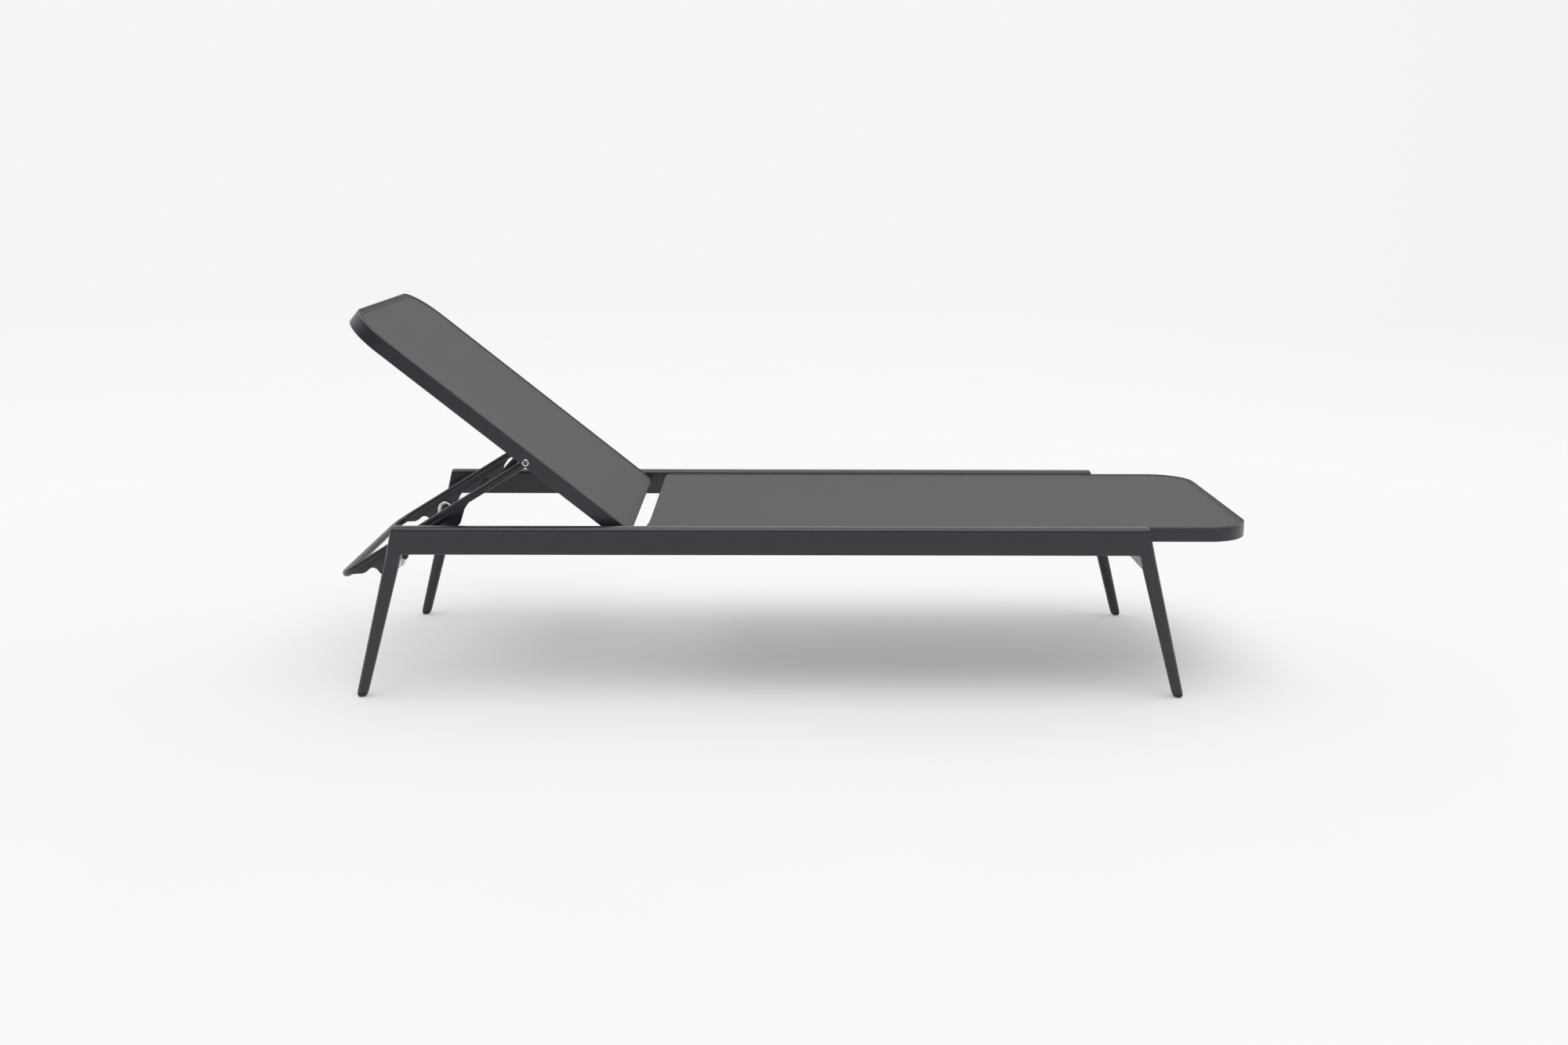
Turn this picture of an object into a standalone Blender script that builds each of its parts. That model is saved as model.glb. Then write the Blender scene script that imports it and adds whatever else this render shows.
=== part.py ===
"""Reclining sun lounger: welded aluminium base, seat and back panels with stretched slings,
and a folding stand whose notched plates rest on two studs on the head-end legs.

Frame: +X runs from the head end to the foot end, +Z is up, the floor is Z = 0.
The origin is on the floor under the middle of the lounger's length and width.
Left is +Y and right is -Y, as for a person lying with the head at -X.
The back is modelled flat about its hinge line and then tilted; the stand likewise about its pivot.
"""
import math

import bmesh
import bpy
from mathutils import Vector

# ---------------------------------------------------------------- driving dimensions (metres)
GAP = 0.0003                 # clearance between neighbouring solids

OUTER_WIDTH = 0.660          # across the outer faces of the side rails
RAIL_WIDTH = 0.030
RAIL_HEIGHT = 0.054
RAIL_TOP_Z = 0.361
RAIL_END_X = 0.771           # where the rail's top meets the line of the leg's outer edge
RAIL_END_RADIUS = 0.012
LEG_SPLAY = 0.2405           # how far a leg runs outwards for each unit of drop
LEG_TOP_DEPTH = 0.030
LEG_TOP_WIDTH = 0.030
LEG_FOOT_DEPTH = 0.0195
LEG_FOOT_WIDTH = 0.0210
FOOT_CAP_HEIGHT = 0.009
FOOT_CAP_FLAT = 0.0065       # radius of the flat disc that the cap stands on
BEAM_BOTTOM_Z = 0.278

PANEL_TOP_Z = 0.3575         # top plane of the seat, and of the back when flat
FRAME_HEIGHT = 0.030
FRAME_BAR = 0.025            # width of the bent frame bar
FRAME_LIP = 0.003            # upstand round the outer edge of the bar
REBATE = 0.0045              # depth of the step inside the lip
CORNER_RADIUS = 0.090
SEAT_HALF = 0.2945
SEAT_HEAD_X = -0.245
SEAT_FOOT_X = 0.9935
BACK_HALF = 0.287
BACK_LENGTH = 0.7013         # hinge line to head end
BACK_TAIL = 0.010            # how far the side bars run past the hinge line

HINGE_X = -0.3097
HINGE_DROP = 0.022           # hinge line below the panel's top plane
BACK_TILT = math.radians(38.8)
PIVOT_ARM = 0.2436           # hinge line to stand pivot, along the back
PIVOT_RISE = 0.001

STUD_X = -0.7779
STUD_Z = 0.2784
STUD_RADIUS = 0.0185

TUBE_RADIUS = 0.008
STAND_HALF = 0.2525          # middle of the stand's side bars
STAND_REACH = 0.4545         # pivot to the middle of the handle
BAR_DROP = 0.003             # bar's centre line below the pivot
PLATE_THICKNESS = 0.005
NOTCH_COUNT = 4
REST_NOTCH = 1               # counted from the handle, which is notch 0
NOTCH_PITCH = 0.0592
NOTCH_DROP = 0.0367          # notch centre below the pivot
NOTCH_RADIUS = 0.0120
TOOTH_DROP = 0.0475          # tooth tips below the pivot
SLOT_DEPTH = 0.0026
SLOT_RANGES = ((0.184, 0.302), (0.331, 0.409))    # relief slots, as distances from the pivot
HANDLE_BEND = 0.040          # bend radius between the side bars and the handle
EYE_RADIUS = 0.0115          # flattened end of the bar round the pivot screw
STAND_TUBE_REACH = 0.0755    # pivot to the stand's cross tube

SLING_THICKNESS = 0.003
KEDER_SIZE = 0.0032
CROSS_RADIUS = 0.0115        # tubes at the free ends of the slings
SPREADER_RADIUS = 0.0095
SPREADER_BOW = 0.022
SEAT_SPREADERS = (0.17, 0.58)
BACK_SPREADER = 0.47         # hinge line to spreader
FRAME_SCREWS = (-0.19, 0.69)
FRAME_SCREW_Z = 0.3400

M8_RADIUS = 0.004
M8_HOLE = 0.0043
M8_HEAD_RADIUS = 0.0076
M8_HEAD_HEIGHT = 0.0044
M6_RADIUS = 0.003
M6_HOLE = 0.0033
M6_HEAD_RADIUS = 0.0052
NUT_RADIUS = 0.0075
NUT_HEIGHT = 0.0065
SPACER_RADIUS = 0.008
BUSH_RADIUS = 0.010
WASHER_RADIUS = 0.009
SCREW_DEPTH = 0.016          # how far the frame screws run into the rails
BOLT_DEPTH = 0.020           # the same for the hinge bolts
SIDES = (("left", 1.0), ("right", -1.0))

# ---------------------------------------------------------------- worked out from them
HALF_WIDTH = OUTER_WIDTH / 2.0
RAIL_INNER = HALF_WIDTH - RAIL_WIDTH
RAIL_MIDDLE = HALF_WIDTH - RAIL_WIDTH / 2.0
RAIL_BOTTOM_Z = RAIL_TOP_Z - RAIL_HEIGHT
HINGE_Z = PANEL_TOP_Z - HINGE_DROP
PLATE_OUTER = STAND_HALF + PLATE_THICKNESS / 2.0
PLATE_TOP = BAR_DROP + TUBE_RADIUS + GAP
BAR_END = STAND_REACH - HANDLE_BEND - 0.004
STUD_INNER = PLATE_OUTER + 2.0 * GAP              # the teeth pass beside the studs' ends


def back_to_base(x, z):
    """Place a point of the flat back, measured from the hinge line, at the rest tilt."""
    cos, sin = math.cos(BACK_TILT), math.sin(BACK_TILT)
    return (HINGE_X + x * cos + z * sin, HINGE_Z - x * sin + z * cos)


PIVOT_X, PIVOT_Z = back_to_base(-PIVOT_ARM, PIVOT_RISE)
STUD_DISTANCE = math.hypot(PIVOT_X - STUD_X, PIVOT_Z - STUD_Z)
NOTCH_REST = math.sqrt(STUD_DISTANCE ** 2 - NOTCH_DROP ** 2)
STAND_SLOPE = math.atan2(PIVOT_Z - STUD_Z, PIVOT_X - STUD_X) - math.asin(NOTCH_DROP / STUD_DISTANCE)
HANDLE_X = (PIVOT_X - STAND_REACH * math.cos(STAND_SLOPE) + BAR_DROP * math.sin(STAND_SLOPE)
            - TUBE_RADIUS)
CENTRE_X = (SEAT_FOOT_X + HANDLE_X) / 2.0


# ---------------------------------------------------------------- scene helpers
def clear_scene():
    for old in list(bpy.data.objects):
        bpy.data.objects.remove(old, do_unlink=True)


def finish_material(name, colour, roughness, metallic):
    material = bpy.data.materials.new(name)
    material.use_nodes = True
    shader = material.node_tree.nodes["Principled BSDF"]
    shader.inputs["Base Color"].default_value = (*colour, 1.0)
    shader.inputs["Roughness"].default_value = roughness
    shader.inputs["Metallic"].default_value = metallic
    return material


def datum(name, location, tilt=0.0, parent=None):
    """An empty that carries the pieces of one moving part."""
    empty = bpy.data.objects.new(name, None)
    bpy.context.scene.collection.objects.link(empty)
    empty.location = location
    empty.rotation_euler = (0.0, tilt, 0.0)
    empty.parent = parent
    return empty


def add_piece(name, bm, material, parent, smooth=True):
    bmesh.ops.recalc_face_normals(bm, faces=bm.faces)
    mesh = bpy.data.meshes.new(name)
    bm.to_mesh(mesh)
    bm.free()
    if smooth:
        mesh.shade_smooth()
        mesh.set_sharp_from_angle(angle=math.radians(35.0))
    mesh.materials.append(material)
    piece = bpy.data.objects.new(name, mesh)
    bpy.context.scene.collection.objects.link(piece)
    piece.parent = parent
    return piece


def boolean(piece, tool_bm, operation, parent):
    """Cut a piece with a tool solid, or keep only what the two share."""
    tool = add_piece(piece.name + "_tool", tool_bm, piece.data.materials[0], parent, smooth=False)
    tool.hide_render = True
    tool.display_type = "WIRE"
    modifier = piece.modifiers.new(operation.lower(), "BOOLEAN")
    modifier.operation = operation
    modifier.solver = "EXACT"
    modifier.object = tool


# ---------------------------------------------------------------- shape helpers
def loft(rings):
    """A closed solid through rings of points that all have the same count."""
    bm = bmesh.new()
    rows = [[bm.verts.new(point) for point in ring] for ring in rings]
    for low, high in zip(rows, rows[1:]):
        for i in range(len(low)):
            j = (i + 1) % len(low)
            bm.faces.new((low[i], low[j], high[j], high[i]))
    bm.faces.new(rows[0])
    bm.faces.new(rows[-1])
    return bm


def extrude_side(profile, y_low, y_high):
    """A side-view outline of (x, z) points carried across from y_low to y_high."""
    return loft([[(x, y, z) for x, z in profile] for y in (y_low, y_high)])


def extrude_plan(outline, z_low, z_high):
    """A plan outline of (x, y) points carried up from z_low to z_high."""
    return loft([[(x, y, z) for x, y in outline] for z in (z_low, z_high)])


def turned(profile, x, z, side, sides=20):
    """A solid of revolution about a line along Y; profile holds (radius, distance from the middle)."""
    rings = []
    for radius, y in profile:
        steps = [2.0 * math.pi * i / sides for i in range(sides)]
        rings.append([(x + radius * math.cos(a), side * y, z + radius * math.sin(a)) for a in steps])
    return loft(rings)


def bored(outer, bore, y_in, y_out, x, z, side, sides=20):
    """A plain bush or washer about a line along Y."""
    bm = bmesh.new()
    rows = []
    for radius, y in ((outer, y_in), (outer, y_out), (bore, y_out), (bore, y_in)):
        steps = [2.0 * math.pi * i / sides for i in range(sides)]
        rows.append([bm.verts.new((x + radius * math.cos(a), side * y, z + radius * math.sin(a)))
                     for a in steps])
    for k in range(4):
        low, high = rows[k], rows[(k + 1) % 4]
        for i in range(sides):
            j = (i + 1) % sides
            bm.faces.new((low[i], low[j], high[j], high[i]))
    return bm


def tube(path, radius, sides=12):
    """A round bar along a path that lies in one plane, with its rings on the mitre planes."""
    points = [Vector(p) for p in path]
    legs = [(b - a).normalized() for a, b in zip(points, points[1:])]
    across = Vector((0.0, 0.0, 1.0)) if abs(legs[0].z) < 0.5 else Vector((1.0, 0.0, 0.0))
    for first, second in zip(legs, legs[1:]):
        if first.cross(second).length > 1e-6:
            across = first.cross(second).normalized()
            break
    rings = []
    for i, point in enumerate(points):
        before, after = legs[max(i - 1, 0)], legs[min(i, len(legs) - 1)]
        along = (before + after).normalized()
        sideways = across.cross(along) / max(along.dot(before), 0.5)
        steps = [2.0 * math.pi * k / sides for k in range(sides)]
        rings.append([point + radius * (math.cos(a) * across + math.sin(a) * sideways) for a in steps])
    return loft(rings)


def arc(centre, radius, start, end, steps):
    """Points on an arc; angles in radians, both ends included."""
    angles = [start + (end - start) * i / steps for i in range(steps + 1)]
    return [(centre[0] + radius * math.cos(a), centre[1] + radius * math.sin(a)) for a in angles]


def u_path(open_x, end_x, half, radius, steps=7):
    """Plan line of a bent frame: two straight sides and a closed end with rounded corners."""
    way = 1.0 if end_x > open_x else -1.0
    quarter = math.pi / 2.0
    centre_x = way * end_x - radius
    first = arc((centre_x, half - radius), radius, quarter, 0.0, steps)
    second = arc((centre_x, radius - half), radius, 0.0, -quarter, steps)
    line = [(way * open_x, half), *first, *second, (way * open_x, -half)]
    return [(way * x, way * y) for x, y in line]


def offset_inwards(line, distance):
    """Shift an open plan line to its right by a distance, on the mitres."""
    points = [Vector(p) for p in line]
    legs = [(b - a).normalized() for a, b in zip(points, points[1:])]
    normals = [Vector((leg.y, -leg.x)) for leg in legs]
    shifted = []
    for i, point in enumerate(points):
        before, after = normals[max(i - 1, 0)], normals[min(i, len(normals) - 1)]
        mitre = (before + after).normalized()
        shifted.append(point + mitre * (distance / mitre.dot(before)))
    return shifted


def bent_bar(line, section):
    """Sweep a section of (inward distance, height) points along a plan line."""
    shifted = [[(p.x, p.y, height) for p in offset_inwards(line, inward)] for inward, height in section]
    return loft([[row[i] for row in shifted] for i in range(len(line))])


def rounded_section(width, depth, count=16, power=2.6):
    """A soft-cornered outline of (x, y) points about its centre."""
    points = []
    for i in range(count):
        a = 2.0 * math.pi * (i + 0.5) / count
        cos, sin = math.cos(a), math.sin(a)
        points.append((width / 2.0 * math.copysign(abs(cos) ** (2.0 / power), cos),
                       depth / 2.0 * math.copysign(abs(sin) ** (2.0 / power), sin)))
    return points


# ---------------------------------------------------------------- base: rails, legs, feet, beam
def outer_edge_x(z):
    """Outer edge of the leg and rail end at a height, for the foot end."""
    return RAIL_END_X + LEG_SPLAY * (RAIL_TOP_Z - z)


def side_rail(side, material, parent):
    """Rail with ends cut on the line of the legs, round on top and lightly eased below."""
    low_x = outer_edge_x(RAIL_BOTTOM_Z)
    lean = math.atan(LEG_SPLAY)
    setback = RAIL_END_RADIUS * math.tan((math.pi / 2.0 - lean) / 2.0)
    centre = (RAIL_END_X - setback, RAIL_TOP_Z - RAIL_END_RADIUS)
    corner = arc(centre, RAIL_END_RADIUS, lean, math.pi / 2.0, 4)
    profile = [(low_x, RAIL_BOTTOM_Z), *corner]
    profile += [(-x, z) for x, z in reversed(profile)]
    y_low, y_high = sorted((side * RAIL_INNER, side * HALF_WIDTH))
    rail = add_piece("side_rail_" + ("left" if side > 0 else "right"),
                     extrude_side(profile, y_low, y_high), material, parent)
    top, bottom, half = 0.009, 0.003, RAIL_WIDTH / 2.0
    section = arc((half - top, RAIL_TOP_Z - top), top, 0.0, math.pi / 2.0, 3)
    section += arc((top - half, RAIL_TOP_Z - top), top, math.pi / 2.0, math.pi, 3)
    section += [(-half, RAIL_BOTTOM_Z + bottom), (bottom - half, RAIL_BOTTOM_Z)]
    section += [(half - bottom, RAIL_BOTTOM_Z), (half, RAIL_BOTTOM_Z + bottom)]
    reach = low_x + 0.010
    bar = loft([[(x, side * RAIL_MIDDLE + y, z) for y, z in section] for x in (-reach, reach)])
    boolean(rail, bar, "INTERSECT", parent)
    for x in FRAME_SCREWS:
        hole = turned(((M6_HOLE, RAIL_INNER - 0.005), (M6_HOLE, RAIL_INNER + SCREW_DEPTH + 0.002)),
                      x, FRAME_SCREW_Z, side, 12)
        boolean(rail, hole, "DIFFERENCE", parent)
    hole = turned(((M8_HOLE, RAIL_INNER - 0.005), (M8_HOLE, RAIL_INNER + BOLT_DEPTH + 0.002)),
                  HINGE_X, HINGE_Z, side, 12)
    boolean(rail, hole, "DIFFERENCE", parent)


def leg_ring(z, end, side, grow=0.0):
    """One level outline of a leg, which narrows and runs outwards as it comes down."""
    share = (RAIL_BOTTOM_Z - z) / RAIL_BOTTOM_Z
    depth = LEG_TOP_DEPTH + (LEG_FOOT_DEPTH - LEG_TOP_DEPTH) * share + grow
    width = LEG_TOP_WIDTH + (LEG_FOOT_WIDTH - LEG_TOP_WIDTH) * share + grow
    centre = outer_edge_x(z) - depth / 2.0 + grow / 2.0
    return [(end * centre + x, side * RAIL_MIDDLE + y, z) for x, y in rounded_section(depth, width)]


def leg(name, end, side, material, parent):
    levels = (FOOT_CAP_HEIGHT + GAP, RAIL_BOTTOM_Z - GAP)
    add_piece(name, loft([leg_ring(z, end, side) for z in levels]), material, parent)


def foot_cap(name, end, side, material, parent):
    """Round-bottomed plastic foot with a small flat disc to stand on."""
    top = leg_ring(FOOT_CAP_HEIGHT, end, side)
    middle = sum((Vector(p) for p in top), Vector()) / len(top)
    rings = []
    for share, z in ((FOOT_CAP_FLAT / (LEG_FOOT_DEPTH / 2.0), 0.0), (0.86, 0.0016), (0.97, 0.0042),
                     (1.0, FOOT_CAP_HEIGHT)):
        slide = Vector((end * LEG_SPLAY * (FOOT_CAP_HEIGHT - z), 0.0, 0.0))
        ring = []
        for point in top:
            spread = (Vector(point) - middle) * share + middle + slide
            ring.append((spread.x, spread.y, z))
        rings.append(ring)
    add_piece(name, loft(rings), material, parent)


def foot_beam(material, parent):
    """Welded cross member between the foot-end legs, its sides on the legs' slope."""
    top_z = PANEL_TOP_Z - FRAME_HEIGHT - GAP
    profile = []
    for z, inset in ((BEAM_BOTTOM_Z, 0.003), (top_z, 0.003), (top_z, 0.027), (BEAM_BOTTOM_Z, 0.027)):
        profile.append((outer_edge_x(z) - inset, z))
    reach = RAIL_INNER - GAP
    add_piece("foot_cross_beam", extrude_side(profile, -reach, reach), material, parent)


def stud(side, metal, parent):
    """Stud that the stand's notched plate rests on, and the bolt that holds it to the leg."""
    name = "left" if side > 0 else "right"
    outer = RAIL_INNER - GAP
    bm = bored(STUD_RADIUS, M8_HOLE, STUD_INNER, outer, STUD_X, STUD_Z, side, 28)
    add_piece("stand_stud_" + name, bm, metal, parent)
    bolt = turned(((M8_RADIUS, STUD_INNER + 0.001), (M8_RADIUS, outer)), STUD_X, STUD_Z, side, 12)
    add_piece("stand_stud_bolt_" + name, bolt, metal, parent)


# ---------------------------------------------------------------- panels: frames, slings, tubes
def frame_section(top_z):
    """Section of the bent bar: outer lip, rebate for the sling, eased outer edges."""
    ease = 0.0012
    bottom = top_z - FRAME_HEIGHT
    step = top_z - REBATE
    return [(0.0, bottom + ease), (0.0, top_z - ease), (ease, top_z), (FRAME_LIP, top_z),
            (FRAME_LIP, step), (FRAME_BAR, step), (FRAME_BAR, bottom), (ease, bottom)]


def keder(name, line, top_z, material, parent):
    """Edge cord of the sling, held in the rebate beside the lip."""
    near = FRAME_LIP + GAP
    low = top_z - REBATE + GAP
    section = [(near, low), (near, low + KEDER_SIZE), (near + KEDER_SIZE, low + KEDER_SIZE),
               (near + KEDER_SIZE, low)]
    add_piece(name, bent_bar(line, section), material, parent)


def sling(name, line, top_z, material, parent):
    """Flat stand-in for the stretched fabric, with a straight free edge."""
    inset = FRAME_LIP + KEDER_SIZE + 3.0 * GAP
    outline = offset_inwards(line, inset)
    low = top_z - REBATE + GAP
    add_piece(name, extrude_plan(outline, low, low + SLING_THICKNESS), material, parent)


def cross_tube(name, x, z, reach, radius, material, parent, bow=0.0, sides=12):
    """Straight or bowed tube from side to side, its end faces square to Y."""
    steps = 8 if bow else 1
    rings = []
    for i in range(steps + 1):
        share = -1.0 + 2.0 * i / steps
        drop = bow * (1.0 - share * share)
        turns = [2.0 * math.pi * k / sides for k in range(sides)]
        rings.append([(x + radius * math.cos(a), reach * share, z - drop + radius * math.sin(a))
                      for a in turns])
    add_piece(name, loft(rings), material, parent)


def seat(coat, fabric, cord, parent):
    line = u_path(SEAT_HEAD_X, SEAT_FOOT_X, SEAT_HALF, CORNER_RADIUS)
    frame = add_piece("seat_frame", bent_bar(line, frame_section(PANEL_TOP_Z)), coat, parent)
    for _, side in SIDES:
        for x in FRAME_SCREWS:
            hole = turned(((M6_HOLE, SEAT_HALF - FRAME_BAR - 0.005), (M6_HOLE, SEAT_HALF + 0.005)),
                          x, FRAME_SCREW_Z, side, 12)
            boolean(frame, hole, "DIFFERENCE", parent)
    keder("seat_keder", line, PANEL_TOP_Z, cord, parent)
    sling("seat_sling", line, PANEL_TOP_Z, fabric, parent)
    reach = SEAT_HALF - FRAME_BAR - GAP
    under = PANEL_TOP_Z - REBATE
    cross_tube("seat_head_tube", SEAT_HEAD_X + CROSS_RADIUS + 0.001, under - CROSS_RADIUS, reach,
               CROSS_RADIUS, coat, parent)
    for i, x in enumerate(SEAT_SPREADERS):
        cross_tube(f"seat_spreader_{i + 1}", x, PANEL_TOP_Z - 0.019, reach, SPREADER_RADIUS, coat,
                   parent, SPREADER_BOW)


def seat_fixings(side, metal, plastic, parent):
    """Spacers and screws that hold the seat frame between the rails."""
    name = "left" if side > 0 else "right"
    for x, place in zip(FRAME_SCREWS, ("head", "foot")):
        spacer = bored(SPACER_RADIUS, M6_HOLE, SEAT_HALF + GAP, RAIL_INNER - GAP, x, FRAME_SCREW_Z,
                       side, 16)
        add_piece(f"seat_spacer_{place}_{name}", spacer, plastic, parent)
        face = SEAT_HALF - FRAME_BAR - GAP
        profile = ((M6_HEAD_RADIUS * 0.7, face - 0.0035), (M6_HEAD_RADIUS, face - 0.0020),
                   (M6_HEAD_RADIUS, face), (M6_RADIUS, face), (M6_RADIUS, RAIL_INNER + SCREW_DEPTH))
        add_piece(f"seat_screw_{place}_{name}", turned(profile, x, FRAME_SCREW_Z, side, 12), metal,
                  parent)


def hinge_fixings(side, metal, plastic, parent):
    """Hinge bolt from inside the back's side bar into the rail, with a bush between the two."""
    name = "left" if side > 0 else "right"
    face = BACK_HALF - FRAME_BAR - GAP
    profile = ((M8_HEAD_RADIUS * 0.6, face - M8_HEAD_HEIGHT), (M8_HEAD_RADIUS * 0.9, face - 0.003),
               (M8_HEAD_RADIUS, face), (M8_RADIUS, face), (M8_RADIUS, RAIL_INNER + BOLT_DEPTH))
    add_piece("hinge_bolt_" + name, turned(profile, HINGE_X, HINGE_Z, side, 16), metal, parent)
    bush = bored(BUSH_RADIUS, M8_HOLE, BACK_HALF + GAP, RAIL_INNER - GAP, HINGE_X, HINGE_Z, side, 20)
    add_piece("hinge_bush_" + name, bush, plastic, parent)


# ---------------------------------------------------------------- back, in its own flat frame
def back(coat, fabric, cord, parent):
    top = HINGE_DROP
    line = u_path(BACK_TAIL, -BACK_LENGTH, BACK_HALF, CORNER_RADIUS)
    frame = add_piece("back_frame", bent_bar(line, frame_section(top)), coat, parent)
    for _, side in SIDES:
        for x, z in ((0.0, 0.0), (-PIVOT_ARM, PIVOT_RISE)):
            hole = turned(((M8_HOLE, BACK_HALF - FRAME_BAR - 0.005), (M8_HOLE, BACK_HALF + 0.005)),
                          x, z, side, 12)
            boolean(frame, hole, "DIFFERENCE", parent)
    keder("back_keder", line, top, cord, parent)
    sling("back_sling", line, top, fabric, parent)
    reach = BACK_HALF - FRAME_BAR - GAP
    cross_tube("back_foot_tube", BACK_TAIL - CROSS_RADIUS - 0.001, top - REBATE - CROSS_RADIUS,
               STAND_HALF - 0.001, CROSS_RADIUS * 0.9, coat, parent)
    cross_tube("back_spreader", -BACK_SPREADER, top - 0.0165, reach, SPREADER_RADIUS, coat, parent,
               SPREADER_BOW)


def pivot_fixings(side, metal, plastic, parent):
    """Button-head screw, washer and nut on the stand's pivot line."""
    name = "left" if side > 0 else "right"
    head = BACK_HALF + GAP
    nut_face = STAND_HALF - TUBE_RADIUS - GAP
    profile = ((M8_RADIUS, nut_face - NUT_HEIGHT - 0.001), (M8_RADIUS, head), (M8_HEAD_RADIUS, head),
               (M8_HEAD_RADIUS, head + 0.0012), (M8_HEAD_RADIUS * 0.86, head + 0.0030),
               (M8_HEAD_RADIUS * 0.55, head + M8_HEAD_HEIGHT))
    screw = turned(profile, -PIVOT_ARM, PIVOT_RISE, side, 20)
    piece = add_piece("pivot_screw_" + name, screw, metal, parent)
    socket = turned(((0.0029, head + 0.0018), (0.0029, head + 0.0100)), -PIVOT_ARM, PIVOT_RISE, side, 6)
    boolean(piece, socket, "DIFFERENCE", parent)
    washer_faces = (STAND_HALF + TUBE_RADIUS + 0.0002, BACK_HALF - FRAME_BAR - 0.0002)
    washer = bored(WASHER_RADIUS, M8_HOLE, *washer_faces, -PIVOT_ARM, PIVOT_RISE, side, 16)
    add_piece("pivot_washer_" + name, washer, plastic, parent)
    bore = M8_HOLE / math.cos(math.pi / 6.0)
    nut = bored(NUT_RADIUS, bore, nut_face - NUT_HEIGHT, nut_face, -PIVOT_ARM, PIVOT_RISE, side, 6)
    add_piece("pivot_nut_" + name, nut, metal, parent)


# ---------------------------------------------------------------- stand, along -X from its pivot
def stand_bar(side, coat, parent):
    """Side bar with a flattened eye round the pivot screw."""
    name = "left" if side > 0 else "right"
    bar = tube([(-0.004, side * STAND_HALF, -BAR_DROP), (-BAR_END, side * STAND_HALF, -BAR_DROP)],
               TUBE_RADIUS)
    piece = add_piece("stand_bar_" + name, bar, coat, parent)
    eye = turned(((EYE_RADIUS, STAND_HALF - TUBE_RADIUS), (EYE_RADIUS, STAND_HALF + TUBE_RADIUS)),
                 0.0, 0.0, side, 20)
    boolean(piece, eye, "UNION", parent)
    hole = turned(((M8_HOLE, STAND_HALF - 0.012), (M8_HOLE, STAND_HALF + 0.012)), 0.0, 0.0, side, 12)
    boolean(piece, hole, "DIFFERENCE", parent)


def stand_handle(coat, parent):
    """Cross handle with the two bends that lead into the side bars."""
    start = -BAR_END - GAP
    quarter = math.pi / 2.0
    centre = (HANDLE_BEND - STAND_REACH, STAND_HALF - HANDLE_BEND)
    bend = arc(centre, HANDLE_BEND, quarter, 2.0 * quarter, 6)
    half = [(start, STAND_HALF), *bend]
    line = half + [(x, -y) for x, y in reversed(half)]
    add_piece("stand_handle", tube([(x, y, -BAR_DROP) for x, y in line], TUBE_RADIUS), coat, parent)


def ratchet_outline():
    """Side outline of the notched plate as (distance from pivot, drop), from the handle inwards."""
    outline = [(0.437, PLATE_TOP), (0.433, 0.0165), (0.4185, 0.0270)]
    for k in range(NOTCH_COUNT):
        centre = (NOTCH_REST + (REST_NOTCH - k) * NOTCH_PITCH, NOTCH_DROP)
        if k:
            outline += [(centre[0] + 0.0215, 0.0345), (centre[0] + 0.0145, 0.0290)]
        outline += arc(centre, NOTCH_RADIUS, math.radians(-50.0), math.radians(-170.0), 6)
        hook = centre[0] - NOTCH_RADIUS
        outline += [(hook - 0.0003, TOOTH_DROP - 0.0035), (hook - 0.0030, TOOTH_DROP),
                    (hook - 0.0075, TOOTH_DROP - 0.0010)]
    last = NOTCH_REST + (REST_NOTCH - NOTCH_COUNT + 1) * NOTCH_PITCH
    outline += [(last - 0.0265, TOOTH_DROP - 0.0055), (last - 0.0620, 0.0175), (last - 0.0740, PLATE_TOP)]
    for start, end in SLOT_RANGES:
        outline += [(start, PLATE_TOP), (start + 0.002, PLATE_TOP + SLOT_DEPTH)]
        outline += [(end - 0.002, PLATE_TOP + SLOT_DEPTH), (end, PLATE_TOP)]
    return outline


def ratchet_plate(side, coat, parent):
    """Notched plate welded under a side bar; two relief slots part it from the bar."""
    name = "left" if side > 0 else "right"
    profile = [(-along, -drop) for along, drop in ratchet_outline()]
    faces = sorted((side * (STAND_HALF - PLATE_THICKNESS / 2.0), side * PLATE_OUTER))
    add_piece("ratchet_plate_" + name, extrude_side(profile, *faces), coat, parent)


def stand(coat, parent):
    stand_handle(coat, parent)
    cross_tube("stand_cross_tube", -STAND_TUBE_REACH, -BAR_DROP, STAND_HALF - TUBE_RADIUS - GAP,
               TUBE_RADIUS, coat, parent)
    for _, side in SIDES:
        stand_bar(side, coat, parent)
        ratchet_plate(side, coat, parent)


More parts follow.
